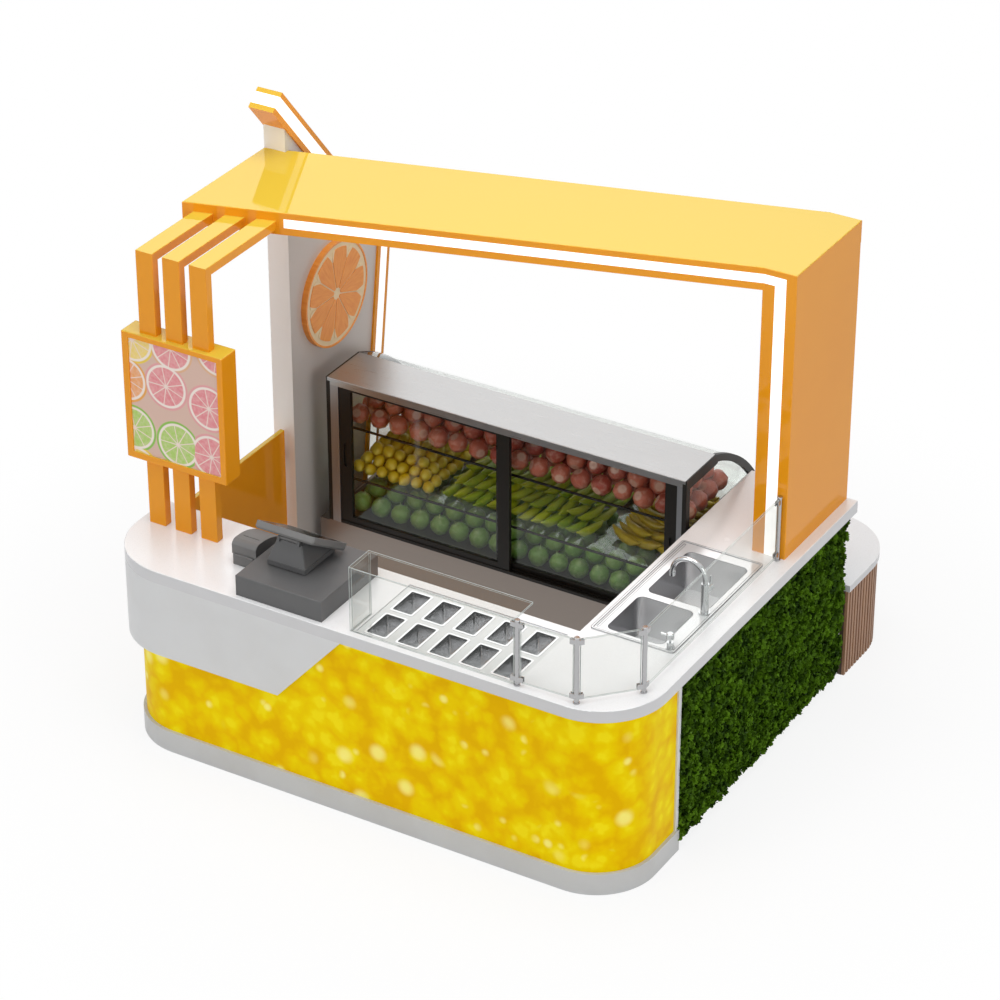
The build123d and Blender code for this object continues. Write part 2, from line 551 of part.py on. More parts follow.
def guard_clamps(post, turn):
    """Two jaws on a post that grip the end of a pane running off at `turn` degrees."""
    jaws = []
    for z in CLAMP_Z:
        jaw = block(0, GRIP + 15, -9, 9, -12, 12)
        jaw -= block(GRIP, GRIP + 30, -GUARD_T / 2, GUARD_T / 2, -30, 30)
        jaw -= Cylinder(GUARD_POST_R, 60)
        jaws.append(Pos(post.X, post.Y, z) * Rot(0, 0, turn) * jaw)
    return jaws


def make_guard():
    steel = []
    for post in (POST_A, POST_B, POST_C, POST_D):
        steel.append(upright(post.X, post.Y, GUARD_POST_R, COUNTER_H + 6, GUARD_POST_TOP - 5))
        steel.append(upright(post.X, post.Y, GRIP - 0.5, COUNTER_H, COUNTER_H + 6))
        cap = upright(post.X, post.Y, 13, GUARD_POST_TOP - 5, GUARD_POST_TOP)
        steel.append(fillet(cap.edges().sort_by(Axis.Z)[-1], 2))

    panes = []
    for start, end in ((POST_A, POST_B), (POST_B, POST_C), (POST_C, POST_D)):
        pane, turn = guard_span(start, end)
        panes.append(pane)
        steel += guard_clamps(start, turn) + guard_clamps(end, turn + 180)

    # Box guard over the pans: front and left panes with a glass top.
    reach = POST_A.X - GRIP
    outer, inner = GUARD_FRONT - GUARD_T / 2, GUARD_FRONT + GUARD_T / 2
    left = GUARD_LEFT - GUARD_T / 2
    panes.append(block(left, reach, outer, inner, COUNTER_H, GUARD_TOP))
    panes.append(block(left, left + GUARD_T, inner, GUARD_BACK, COUNTER_H, GUARD_TOP))
    panes.append(block(left, reach, outer, GUARD_BACK, GUARD_TOP, GUARD_TOP + GUARD_T))
    steel += guard_clamps(POST_A, 180)
    keep("guard_posts", *steel)
    keep("guard_glass", *panes)


def make_sink():
    (x0, x1), (y0, y1), edge = SINK_X, SINK_Y, RIM_W
    basin = round_box(x0, x1, y0, y1, COUNTER_H, SINK_RIM, 14)
    basin -= round_box(x0 + edge, x1 - edge, y0 + edge, y1 - edge, SINK_DECK, SINK_RIM + 1, 7)
    strainers = []
    floor = SINK_DECK - BOWL_DEPTH
    wall = BOWL_WALL
    for x0, x1, y0, y1 in BOWLS:
        outside = (x0 - wall, x1 + wall, y0 - wall, y1 + wall)
        basin += round_box(*outside, floor - wall, COUNTER_H + 1, BOWL_R + wall)
    for x0, x1, y0, y1 in BOWLS:
        basin -= round_box(x0, x1, y0, y1, floor, SINK_RIM + 1, BOWL_R)
        x, y = (x0 + x1) / 2, (y0 + y1) / 2
        basin -= upright(x, y, DRAIN_R, floor - 10, floor + 1)
        # Strainer: dished cup in the drain hole with a ring of holes and a tail pipe below.
        cup = upright(x, y, DRAIN_R, floor - 14, floor) - upright(x, y, DRAIN_R - 4, floor - 9, floor + 1)
        for number in range(6):
            angle = math.radians(60 * number)
            cup -= upright(x + 24 * math.cos(angle), y + 24 * math.sin(angle), 5, floor - 20, floor)
        cup += upright(x, y, 19, floor - 70, floor - 14)
        strainers.append(cup - upright(x, y, 16, floor - 71, floor - 12))
    groove = (SINK_X[0] + 18, SINK_X[0] + 30, SINK_Y[0] + 24, SINK_Y[1] - 24)
    basin -= round_box(*groove, SINK_DECK - 1.5, SINK_DECK + 1, 5)
    keep("sink_basin", basin)
    keep("sink_strainers", *strainers)


def make_faucet():
    x, y = FAUCET_X, FAUCET_Y
    deck = SINK_DECK
    body = upright(x, y, 26, deck, deck + 7) + upright(x, y, 18, deck + 7, SPOUT_FOOT - 0.3)
    body += upright(x, y, 8, SPOUT_FOOT - 0.3, SPOUT_FOOT + 20)
    body += lying_y(x, LEVER_Z, 15, y, y + 39) + lying_y(x, LEVER_Z, 5, y + 39, y + 53)
    keep("faucet_body", body)

    tip = x - 2 * SPOUT_BEND
    crown = (x - SPOUT_BEND, y, SPOUT_Z + SPOUT_BEND)
    route = Line((x, y, SPOUT_FOOT), (x, y, SPOUT_Z))
    route += ThreePointArc((x, y, SPOUT_Z), crown, (tip, y, SPOUT_Z))
    route += Line((tip, y, SPOUT_Z), (tip, y, NOZZLE_Z))
    spout = sweep(Pos(x, y, SPOUT_FOOT) * Circle(SPOUT_R), path=route)
    spout += upright(x, y, 18, SPOUT_FOOT, SPOUT_FOOT + 14)
    spout += upright(tip, y, SPOUT_R + 1.5, NOZZLE_Z, NOZZLE_Z + 20)
    spout -= upright(tip, y, SPOUT_R - 3, NOZZLE_Z - 1, NOZZLE_Z + 12)
    keep("faucet_spout", spout - upright(x, y, 8 + PIN_PLAY, SPOUT_FOOT - 1, SPOUT_FOOT + 21))

    lever = lying_y(x, LEVER_Z, 16, y + 39.3, y + 60)
    lever = fillet(lever.edges().sort_by(Axis.Y)[-1], 3)
    lever -= lying_y(x, LEVER_Z, 5 + PIN_PLAY, y + 39, y + 53.5)
    rod = Pos(x, y + 51, LEVER_Z + 36) * Cone(5.5, 4, 44)
    rod += Pos(x, y + 51, LEVER_Z + 58) * Sphere(4)
    keep("faucet_lever", lever + (rod - lying_y(x, LEVER_Z, 15, y + 30, y + 70)))

    x, y = SOAP_X, SOAP_Y
    base = upright(x, y, 21, deck, deck + 5) + upright(x, y, 15, deck + 5, deck + 31)
    keep("soap_base", base - upright(x, y, 5 + PIN_PLAY, deck + 2, deck + 40))
    head = fillet(upright(x, y, 18, deck + 50, deck + 76).edges().sort_by(Axis.Z)[-1], 6)
    head += Pos(x - 24, y, deck + 62) * Rot(0, 90, 0) * Cylinder(6.5, 40)
    keep("soap_pump", head + upright(x, y, 5, deck + 18, deck + 51))


def make_pay_point():
    (x0, x1), (y0, y1), (z0, z1) = TILL_X, TILL_Y, TILL_Z
    wall = TILL_WALL
    case = fillet(block(x0, x1, y0, y1, z0, z1).faces().sort_by(Axis.Z)[-1].edges(), 5)
    case -= block(x0 + wall, x1 - wall, y0 + wall, y1 + 1, z0 + wall, z1 - wall)
    keep("cash_drawer_case", case)

    left, right = x0 + wall + 1, x1 - wall - 1
    floor, front = z0 + wall + 0.3, y1 - 12
    drawer = block(left, right, y0 + 20, front, floor, floor + 62)
    drawer -= block(left + 4, right - 4, y0 + 24, front - 180, floor + 4, floor + 70)
    drawer -= block(left + 4, right - 4, front - 176, front - 4, floor + 4, floor + 70)
    drawer += block(left, right, front, y1, floor, z1 - wall - 1)
    lock = lying_y((x0 + x1) / 2, z0 + 55, 9, y1 - 1, y1 + 4)
    lock -= block((x0 + x1) / 2 - 1, (x0 + x1) / 2 + 1, y1 + 1, y1 + 5, z0 + 51, z0 + 59)
    keep("cash_drawer", drawer + lock)

    # Stand: a tapered block on a foot, cut off under the tilted screen, with two ears for its pin.
    sx, sy, sz = SCREEN_AT
    tilt = Pos(sx, sy, sz) * Rot(SCREEN_TILT, 0, 0)
    back = -SCREEN_T / 2
    spin = math.radians(SCREEN_TILT)
    reach, sink = HINGE_ALONG, back - HINGE_R
    axis_y = sy + reach * math.cos(spin) - sink * math.sin(spin)
    axis_z = sz + reach * math.sin(spin) + sink * math.cos(spin)
    middle = sum(STAND_Y) / 2
    depth = STAND_Y[1] - STAND_Y[0]
    stand = loft([Pos(sx, middle, z1 + 28) * RectangleRounded(200, depth - 6, 8),
                  Pos(sx, middle - 22, z1 + 187) * RectangleRounded(92, 104, 8)], ruled=True)
    stand += raised(Pos(sx, middle) * RectangleRounded(206, depth, 10), z1 + 5, z1 + 28)
    for x in (sx - 80, sx + 80):
        for y in (STAND_Y[0] + 22, STAND_Y[1] - 22):
            stand += upright(x, y, 10, z1, z1 + 6)
    stand -= tilt * block(-200, 200, reach + 14, 300, back - 4, 300)
    stand -= tilt * block(-200, 200, -300, reach + 15, back - 20, 300)
    for near, far in ((-58, -45.5), (45.5, 58)):
        stand += tilt * block(near, far, reach - HINGE_R, reach + HINGE_R, back - 30, sink)
        stand += lying_x(axis_y, axis_z, HINGE_R, sx + near, sx + far)
    keep("pos_stand", stand + lying_x(axis_y, axis_z, 4, sx - 50, sx + 50))

    shell = Box(SCREEN_W, SCREEN_L, SCREEN_T)
    shell = fillet(shell.edges().filter_by(Axis.Z), 14)
    shell = chamfer(shell.faces().sort_by(Axis.Z)[0].edges(), 9)
    pane = Pos(0, 0, SCREEN_T / 2 - 1.5) * Box(SCREEN_W - 24, SCREEN_L - 24, 2)
    recess = Pos(0, 0, SCREEN_T / 2) * Box(SCREEN_W - 24, SCREEN_L - 24, 5)
    screen = tilt * (shell - recess + block(-45, 45, reach - 7, reach + 7, sink, back + 2))
    screen += lying_x(axis_y, axis_z, HINGE_R, sx - 45, sx + 45)
    keep("pos_screen", screen - lying_x(axis_y, axis_z, 4 + PIN_PLAY, sx - 60, sx + 60))
    keep("pos_screen_glass", tilt * pane)

    (x0, x1), (y0, y1), (z0, z1) = PRINTER_X, PRINTER_Y, PRINTER_Z
    body = round_box(x0, x1, y0, y1, z0, z1, 8)
    body -= block(x0 + 12, x1 - 12, y0 + 20, y1 - 36, z0 + 14, z1 + 1)
    # Cover: a domed lid, hollow below, that swings up about pins behind the body.
    foot = z1 + 0.4
    crown, fall = (y0 + 38, COVER_TOP), (y1, COVER_LOW)
    run, drop = fall[0] - crown[0], crown[1] - fall[1]
    bow = (run**2 + drop**2) / (2 * drop)
    half = math.asin(run / bow) / 2
    on_bow = (crown[0] + bow * math.sin(half), crown[1] - bow * (1 - math.cos(half)))
    shoulder = (y0, COVER_EDGE)
    dome = make_face([
        Line((y0, foot), shoulder),
        ThreePointArc(shoulder, (y0 + 11, COVER_TOP - 6), crown),
        ThreePointArc(crown, on_bow, fall),
        Line(fall, (y1, foot)),
        Line((y1, foot), (y0, foot)),
    ])
    cover = across(dome, x0, x1)
    cover -= across(offset(dome, amount=-7), x0 + 7, x1 - 7)
    cover -= block(x0 + 7, x1 - 7, y0 + 7, y1 - 7, z1, foot + 7.5)
    cover -= block(x0 + 22, x1 - 22, y0 + 60, y0 + 64, foot + 20, COVER_TOP + 1)
    axis_y, axis_z = y0 - 4, z1 + 0.2
    for low, high in ((x0 + 15, x0 + 45), (x1 - 45, x1 - 15)):
        body += lying_x(axis_y, axis_z, 4, low, high) - block(low, high, y0, y0 + 9, z1, z1 + 9)
        body += block(low, high, axis_y, y0 + 1, z1 - 4, z1)
    body += lying_x(axis_y, axis_z, 2, x0 + 15, x1 - 15)
    cover += lying_x(axis_y, axis_z, 4, x0 + 45.5, x1 - 45.5)
    cover += block(x0 + 45.5, x1 - 45.5, axis_y, y0 + 1, axis_z + 0.4, axis_z + 4)
    keep("printer_body", body)
    keep("printer_cover", cover - lying_x(axis_y, axis_z, 2 + PIN_PLAY, x0, x1))


make_front_counter()
make_right_counter()
make_canopy()
make_tower()
make_gate()
make_case_shell()
make_doors()
make_ledge()
make_topping_station()
make_guard()
make_sink()
make_faucet()
make_pay_point()

os.makedirs("parts", exist_ok=True)
for name, piece in PIECES.items():
    export_step(piece, f"parts/{name}.step")
print(len(PIECES), "pieces written")
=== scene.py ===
# %% [markdown]
# A juice bar kiosk in Blender
#
# The frame is the CAD model of the kiosk: every board, glass and hinge at its real size, already in place.
# This lesson dresses it. Each step says what the real thing is, how it could be made, and why this way
# was chosen. All numbers are metres unless a name says mm.

# %% Load the frame
import math

import bmesh
import bpy
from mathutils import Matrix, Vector


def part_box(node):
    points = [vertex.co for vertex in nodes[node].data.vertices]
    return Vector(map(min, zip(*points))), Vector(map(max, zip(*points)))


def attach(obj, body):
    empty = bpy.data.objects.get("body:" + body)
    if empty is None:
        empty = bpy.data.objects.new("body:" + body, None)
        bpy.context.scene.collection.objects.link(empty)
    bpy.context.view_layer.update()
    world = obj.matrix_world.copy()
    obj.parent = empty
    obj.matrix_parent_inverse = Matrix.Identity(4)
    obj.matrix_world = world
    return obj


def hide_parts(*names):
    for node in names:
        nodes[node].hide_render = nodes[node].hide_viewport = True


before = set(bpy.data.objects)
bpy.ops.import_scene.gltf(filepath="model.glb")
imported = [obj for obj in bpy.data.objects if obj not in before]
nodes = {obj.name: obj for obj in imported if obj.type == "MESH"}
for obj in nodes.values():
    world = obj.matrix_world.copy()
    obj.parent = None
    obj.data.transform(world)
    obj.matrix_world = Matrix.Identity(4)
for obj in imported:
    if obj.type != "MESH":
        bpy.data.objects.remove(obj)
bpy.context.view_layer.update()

# %% [markdown]
# A few helpers carry the whole lesson. Colours are written as the hex values that a paint chart gives, and
# Blender wants them linear, so one function turns them. Node trees, for shaders and for geometry alike, are
# built with one function that adds a node, sets its properties and fills its inputs with values or links.
# Patterns are given by the size of one grain in millimetres, and a texture wants grains per metre.


# %% Helpers for colours, nodes and materials
def linear(code):
    """Linear colour of an sRGB hex value such as #E0962F."""
    parts = [int(code[i:i + 2], 16) / 255 for i in (1, 3, 5)]
    return [p / 12.92 if p <= 0.04045 else ((p + 0.055) / 1.055) ** 2.4 for p in parts] + [1.0]


def per_metre(grain_mm):
    """Texture scale at which one grain of a pattern measures so many millimetres."""
    return 1000.0 / grain_mm


def add(tree, kind, inputs=None, **settings):
    """Adds one node to a tree. Settings are its properties, inputs are values, sockets or nodes."""
    node = tree.nodes.new(kind)
    for key, value in settings.items():
        setattr(node, key, value)
    for key, value in (inputs or {}).items():
        if isinstance(value, bpy.types.Node):
            value = value.outputs[0]
        if isinstance(value, bpy.types.NodeSocket):
            tree.links.new(value, node.inputs[key])
        else:
            node.inputs[key].default_value = value
    return node


def finish_of(name, code, metallic=0.0, roughness=0.5, **more):
    """A new material with one Principled shader; returns it, its tree, the shader and Object coordinates."""
    material = bpy.data.materials.new(name)
    material.use_nodes = True
    tree = material.node_tree
    tree.nodes.clear()
    values = {"Base Color": linear(code), "Metallic": metallic, "Roughness": roughness}
    values.update({key.replace("_", " "): value for key, value in more.items()})
    shader = add(tree, "ShaderNodeBsdfPrincipled", values)
    add(tree, "ShaderNodeOutputMaterial", {"Surface": shader})
    place = add(tree, "ShaderNodeTexCoord").outputs["Object"]
    return material, tree, shader, place


def dress(material, *names):
    """Gives CAD nodes a material."""
    for name in names:
        nodes[name].data.materials.clear()
        nodes[name].data.materials.append(material)
    print(material.name, "on", ", ".join(names))


# %% [markdown]
# The camera stands where the photographer's stood. Its place and its lens were worked out from straight
# edges of the counter, whose directions are known, so the render can be laid over the photograph.

# %% Camera
camera_data = bpy.data.cameras.new("photo_camera")
camera_data.sensor_width = 36.0
camera_data.lens = 133.88
camera_data.clip_end = 200.0
camera = bpy.data.objects.new("photo_camera", camera_data)
camera.location = (7.567, -12.816, 9.751)
camera.rotation_euler = (math.radians(59.432), 0.0, math.radians(30.731))
bpy.context.scene.collection.objects.link(camera)
bpy.context.scene.camera = camera
bpy.context.scene.view_settings.view_transform = "Standard"
print("camera", round((camera.location - Vector((0, 0, 1))).length, 2), "m away")

# %% [markdown]
# The kiosk is shown on white. The floor is a wide pale sheet. Seen by the camera, in a mirror or through
# glass it is mostly plain white, and the rest of it is a matt surface that still takes the shadow. That rest
# fades out three metres away, as on a cut-out picture. The world is a soft, even sky, white where it is seen.


# %% Floor
def seen_by_eye(tree):
    """1 for what the camera sees, straight, in a mirror or through glass, and 0 for light that bounces."""
    ray = add(tree, "ShaderNodeLightPath")
    seen = add(tree, "ShaderNodeMath", {0: ray.outputs["Is Camera Ray"], 1: ray.outputs["Is Glossy Ray"]},
               operation="MAXIMUM")
    return add(tree, "ShaderNodeMath", {0: seen, 1: ray.outputs["Is Transmission Ray"]}, operation="MAXIMUM")


REACH = 60.0
FADE_FROM, FADE_TO, PLAIN_SHARE = 1.6, 3.4, 0.86
floor_mesh = bpy.data.meshes.new("floor")
floor_mesh.from_pydata([(-REACH, -REACH, 0), (REACH, -REACH, 0), (REACH, REACH, 0), (-REACH, REACH, 0)],
                       [], [(0, 1, 2, 3)])
floor = bpy.data.objects.new("floor", floor_mesh)
bpy.context.scene.collection.objects.link(floor)

paper = bpy.data.materials.new("white_paper_floor")
paper.use_nodes = True
tree = paper.node_tree
tree.nodes.clear()
here = add(tree, "ShaderNodeTexCoord").outputs["Object"]
away = add(tree, "ShaderNodeVectorMath", {0: here}, operation="LENGTH").outputs["Value"]
fade = add(tree, "ShaderNodeMapRange", {"Value": away, "From Min": FADE_FROM, "From Max": FADE_TO,
                                        "To Min": PLAIN_SHARE}, interpolation_type="SMOOTHSTEP")
share = add(tree, "ShaderNodeMath", {0: seen_by_eye(tree), 1: fade}, operation="MULTIPLY")
matt = add(tree, "ShaderNodeBsdfDiffuse", {"Color": linear("#F2F2F2")})
white = add(tree, "ShaderNodeEmission", {"Color": linear("#FFFFFF"), "Strength": 1.0})
both = add(tree, "ShaderNodeMixShader", {0: share, 1: matt, 2: white})
add(tree, "ShaderNodeOutputMaterial", {"Surface": both})
floor_mesh.materials.append(paper)

# %% World
world = bpy.data.worlds.new("studio")
bpy.context.scene.world = world
world.use_nodes = True
tree = world.node_tree
tree.nodes.clear()
soft = add(tree, "ShaderNodeBackground", {"Color": linear("#F4F5F6"), "Strength": 0.36})
plain = add(tree, "ShaderNodeBackground", {"Color": linear("#FFFFFF"), "Strength": 1.0})
sky = add(tree, "ShaderNodeMixShader", {0: seen_by_eye(tree), 1: soft, 2: plain})
add(tree, "ShaderNodeOutputWorld", {"Surface": sky})
print("floor", 2 * REACH, "m wide under", world.name)

# %% [markdown]
# Four large soft boxes light it. Most of the light comes from overhead, as in a mall, so that tops are
# about a third brighter than fronts. A weak key from the front left and a fill from the right keep the
# fronts from going flat. The fourth hangs high behind the kiosk, where the glossy tops mirror it as a sheen.


# %% Lights
def soft_box(name, place, aim, size, watts):
    """A square area lamp at a place, turned to a point."""
    lamp = bpy.data.lights.new(name, "AREA")
    lamp.shape = "SQUARE"
    lamp.size = size
    lamp.energy = watts
    holder = bpy.data.objects.new(name, lamp)
    holder.location = place
    holder.rotation_euler = (Vector(aim) - Vector(place)).to_track_quat("-Z", "Y").to_euler()
    bpy.context.scene.collection.objects.link(holder)


soft_box("overhead", (0.3, -1.0, 8.0), (0.1, -0.3, 0.9), 6.0, 400)
soft_box("key_front_left", (-3.0, -8.5, 4.0), (0, -0.5, 0.9), 4.0, 135)
soft_box("fill_right", (8.0, -2.5, 3.5), (0.5, 0, 1.0), 4.0, 138)
soft_box("sheen_rear_left", (-5.5, 9.0, 8.5), (0.0, 0.0, 1.5), 6.0, 150)

# %% [markdown]
# Some things come back in nearly every finish, so each gets a helper. A colour is painted on by a link to the
# shader. It is mottled when a slow noise mixes two hex values. Patches are what is left of a noise when it is
# cut at two levels. They set where dirt lies, or how the shine varies. A surface is embossed when a fine noise
# is its height, which scatters the highlight without any extra faces. And its facing, the parts of the normal
# along X, Y and Z, tells tops from sides.


# %% Helpers for finishes
def paint(tree, shader, tint):
    """Links the colour of a Mix node to the shader."""
    tree.links.new(tint.outputs[2], shader.inputs["Base Color"])


def mottled(tree, place, first, second, grain_mm, detail):
    """A colour that wanders between two hex values, in clouds of a given size."""
    cloud = add(tree, "ShaderNodeTexNoise", {"Vector": place, "Scale": per_metre(grain_mm), "Detail": detail})
    return add(tree, "ShaderNodeMix", {0: cloud, 6: linear(first), 7: linear(second)}, data_type="RGBA")


def emboss(tree, shader, place, grain_mm, detail, strength, height, socket="Normal"):
    """Gives a surface fine bumps of a given size and height."""
    grain = add(tree, "ShaderNodeTexNoise", {"Vector": place, "Scale": per_metre(grain_mm), "Detail": detail})
    bump = add(tree, "ShaderNodeBump", {"Strength": strength, "Distance": height, "Height": grain})
    tree.links.new(bump.outputs[0], shader.inputs[socket])


def patches(tree, place, grain_mm, detail, begin=0.0, end=1.0, low=0.0, high=1.0):
    """A number that rises from low to high as a noise rises from one level to another."""
    marks = add(tree, "ShaderNodeTexNoise", {"Vector": place, "Scale": per_metre(grain_mm), "Detail": detail})
    return add(tree, "ShaderNodeMapRange", {"Value": marks, "From Min": begin, "From Max": end, "To Min": low,
                                            "To Max": high})


def vary_shine(tree, shader, place, grain_mm, detail, low, high, begin=0.0, end=1.0):
    """Lets the roughness wander from low to high in patches."""
    rough = patches(tree, place, grain_mm, detail, begin, end, low, high)
    tree.links.new(rough.outputs[0], shader.inputs["Roughness"])


def facing(tree):
    """The parts of the surface normal along X, Y and Z."""
    normal = add(tree, "ShaderNodeTexCoord").outputs["Normal"]
    return add(tree, "ShaderNodeSeparateXYZ", {0: normal}).outputs


print("helpers for colour, bumps and shine")

# %% [markdown]
# The counter tops and the rear ledge are white solid surface: acrylic filled with mineral dust, sanded and
# polished. The eye gets an even white with a satin shine and, close up, a fine grey speckle. A noise with
# its peaks cut out gives the specks. Real ones are under 1 mm; these are 3 mm, so that they show at all. The
# tray of the topping station is the same stuff, a shade greyer. Faces that don't look up, such as the edges,
# are painted a light grey as painted shade, so the colour is mixed by the upward part of the normal.

# %% White solid surface
for name, code, where in (
    ("white_solid_surface", "#F2F2F3", ("front_countertop", "right_countertop", "rear_ledge_top")),
    # The tray is a shade greyer than the tops.
    ("greyer_solid_surface", "#E7E8E8", ("topping_tray",)),
):
    white_top, tree, shader, place = finish_of(name, code, roughness=0.24, IOR=1.5)
    specks = patches(tree, place, grain_mm=3.0, detail=1.0, begin=0.6, end=0.72, high=0.5)
    tint = add(tree, "ShaderNodeMix", {0: specks, 6: linear(code), 7: linear("#D3D1CE")}, data_type="RGBA")
    # Painted shade: faces that don't look up are mixed to a light grey, and the tops stay white.
    painted_top_light = add(tree, "ShaderNodeMapRange", {"Value": facing(tree)["Z"], "From Min": 0.2, "From Max": 0.8})
    tint = add(tree, "ShaderNodeMix", {0: painted_top_light, 6: linear("#D2D2D4"), 7: tint.outputs[2]}, data_type="RGBA")
    paint(tree, shader, tint)
    vary_shine(tree, shader, place, grain_mm=140.0, detail=3.0, low=0.2, high=0.3)
    dress(white_top, *where)

# %% [markdown]
# Apron, plinth, carcass and dividers are board faced with white melamine, which is pressed with a fine
# pebble so that it doesn't show fingerprints. Embossing it with a grain of 2.5 mm scatters the highlight in the
# same way. Its colour is a light grey, darker than the white tops, as painted shade on the fronts. The plinth
# is a shade greyer still, as painted shade at the foot of the counter. The plinth is a shade greyer, from shoes
# and mops.

# %% White melamine boards and the greyer plinth
for name, code, dirty, where in (
    # The light grey board colour, darker than the white tops, is painted shade on the fronts.
    ("white_melamine_board", "#D9DADB", "#D2D2D2", ("front_apron", "counter_bases", "front_counter_wall",
                                                   "front_counter_panels", "right_counter_panels",
                                                   "corner_trim")),
    # The greyer plinth colour is painted shade at the foot of the counter.
    ("grey_melamine_plinth", "#C9CACB", "#BDBCBB", ("plinth_band",)),
):
    board, tree, shader, place = finish_of(name, code, roughness=0.38)
    emboss(tree, shader, place, grain_mm=2.5, detail=2.0, strength=0.12, height=0.0004)
    grime = patches(tree, place, grain_mm=320.0, detail=5.0, begin=0.45, end=0.85)
    tint = add(tree, "ShaderNodeMix", {0: grime, 6: linear(code), 7: linear(dirty)}, data_type="RGBA")
    paint(tree, shader, tint)
    dress(board, *where)

# %% [markdown]
# The tower is covered in warm grey laminate, matt and very even. Its broad sides are painted a deeper grey
# than the narrow boards at its edges: painted shade on the broad sides and painted light on the narrow boards.
# So the colour is chosen by how far a face looks sideways. Only a faint cloudiness and the pressed pebble keep
# it from looking like plain paint.

# %% Warm grey tower laminate
tower_grey, tree, shader, place = finish_of("warm_grey_laminate", "#ECE8E3", roughness=0.45)
lit_narrow_grey = mottled(tree, place, "#FBF8F4", "#F6F2ED", grain_mm=420.0, detail=4.0)
shaded_broad_grey = mottled(tree, place, "#D2CECA", "#CBC7C2", grain_mm=420.0, detail=4.0)
# Painted shade on the broad sides and painted light on the narrow edges, chosen by how far a face looks along
# X.
painted_side_shade = add(tree, "ShaderNodeMath", {0: facing(tree)["X"]}, operation="ABSOLUTE")
tint = add(tree, "ShaderNodeMix", {0: painted_side_shade, 6: lit_narrow_grey.outputs[2], 7: shaded_broad_grey.outputs[2]}, data_type="RGBA")
paint(tree, shader, tint)
emboss(tree, shader, place, grain_mm=2.5, detail=2.0, strength=0.1, height=0.0004)
dress(tower_grey, "tower_wall")

# %% [markdown]
# Roof, leg, posts, sign box, tower trims and gate are sprayed with orange lacquer under a thick clear coat.
# The eye gets a saturated colour, a mirror of the bright ceiling on the flat tops, and the slight waviness
# called orange peel. The clear coat is the shader's Coat, the only layer that mirrors, and the waviness is a
# bump on the coat alone, 12 mm wide, as spray leaves it. Faces that look up are painted a paler yellow, as
# painted light from the lamps above them, so the colour is mixed by the upward part of the normal.

# %% Orange lacquer
orange, tree, shader, place = finish_of("orange_gloss_lacquer", "#F09A1C", roughness=0.4,
                                        Specular_IOR_Level=0.0, Coat_Weight=0.6, Coat_Roughness=0.04,
                                        Coat_IOR=1.5)
tint = mottled(tree, place, "#F3A11E", "#EE981A", grain_mm=500.0, detail=3.0)
# Painted light: faces that look up are mixed to a pale yellow.
painted_top_light = add(tree, "ShaderNodeMapRange", {"Value": facing(tree)["Z"], "From Min": 0.3, "From Max": 0.9})
tint = add(tree, "ShaderNodeMix", {0: painted_top_light, 6: tint.outputs[2], 7: linear("#DCBA3E")}, data_type="RGBA")
paint(tree, shader, tint)
emboss(tree, shader, place, grain_mm=12.0, detail=1.0, strength=0.015, height=0.0006, socket="Coat Normal")
dress(orange, "roof_beam", "roof_leg", "canopy_posts", "sign_box_frame", "tower_trim", "staff_gate")

# %% [markdown]
# The light strips are opal acrylic with LED tape behind. They look plain white and slightly brighter where
# the diodes sit, so a noise of 45 mm varies the glow a little.

# %% Opal light strips
opal, tree, shader, place = finish_of("opal_acrylic_lit", "#F8F8F6", roughness=0.35,
                                      Emission_Color=linear("#FFFDFA"), Emission_Strength=0.6)
diodes = patches(tree, place, grain_mm=45.0, detail=0.0, low=0.5, high=0.66)
tree.links.new(diodes.outputs[0], shader.inputs["Emission Strength"])
dress(opal, "canopy_light_strip", "tower_light_strip")

# %% [markdown]
# The curved front is a backlit acrylic panel with a yellow print of fruit pulp, seen very close: soft
# vesicles of 95 and 42 mm, lighter and darker regions, and pale drops in groups where the light shines through.
# Two smooth Voronoi textures and two noises are added up, and a colour ramp turns the sum into pale yellow for
# the middles and gold for the gaps. A noise bends all of it, so that no edge is straight. Large and small drops
# lie on top. The print glows a little, which evens out the shade on it, and its matt face mirrors nothing.

# %% Pulp of the backlit panel
WARP, SMOOTHNESS = (0.05, 0.05, 0.05), 0.4
pulp, tree, shader, place = finish_of("backlit_pulp_print", "#E6C200", roughness=0.4, Specular_IOR_Level=0.03)
warp = add(tree, "ShaderNodeTexNoise", {"Vector": place, "Scale": per_metre(60.0), "Detail": 2.0})
warp = add(tree, "ShaderNodeVectorMath", {0: warp.outputs["Color"], 1: WARP}, operation="MULTIPLY")
bent = add(tree, "ShaderNodeVectorMath", {0: place, 1: warp}, operation="ADD")
depth = 0.0
for kind, size_mm, share in (("Voronoi", 95.0, 0.74), ("Voronoi", 42.0, 0.18), ("Noise", 240.0, 0.44),
                             ("Noise", 30.0, 0.14)):
    layer = add(tree, "ShaderNodeTex" + kind, {"Vector": bent, "Scale": per_metre(size_mm)})
    if kind == "Voronoi":
        layer.feature = "SMOOTH_F1"
        layer.inputs["Smoothness"].default_value = SMOOTHNESS
    depth = add(tree, "ShaderNodeMath", {0: layer, 1: share, 2: depth}, operation="MULTIPLY_ADD")
ramp = add(tree, "ShaderNodeValToRGB", {0: depth})
stops = ramp.color_ramp.elements
stops[0].position, stops[0].color = 0.48, linear("#E6D014")
stops[1].position, stops[1].color = 0.98, linear("#D8A800")
for position, code in ((0.61, "#E1C400"), (0.74, "#DFBD00"), (0.84, "#DDB400")):
    stops.new(position).color = linear(code)

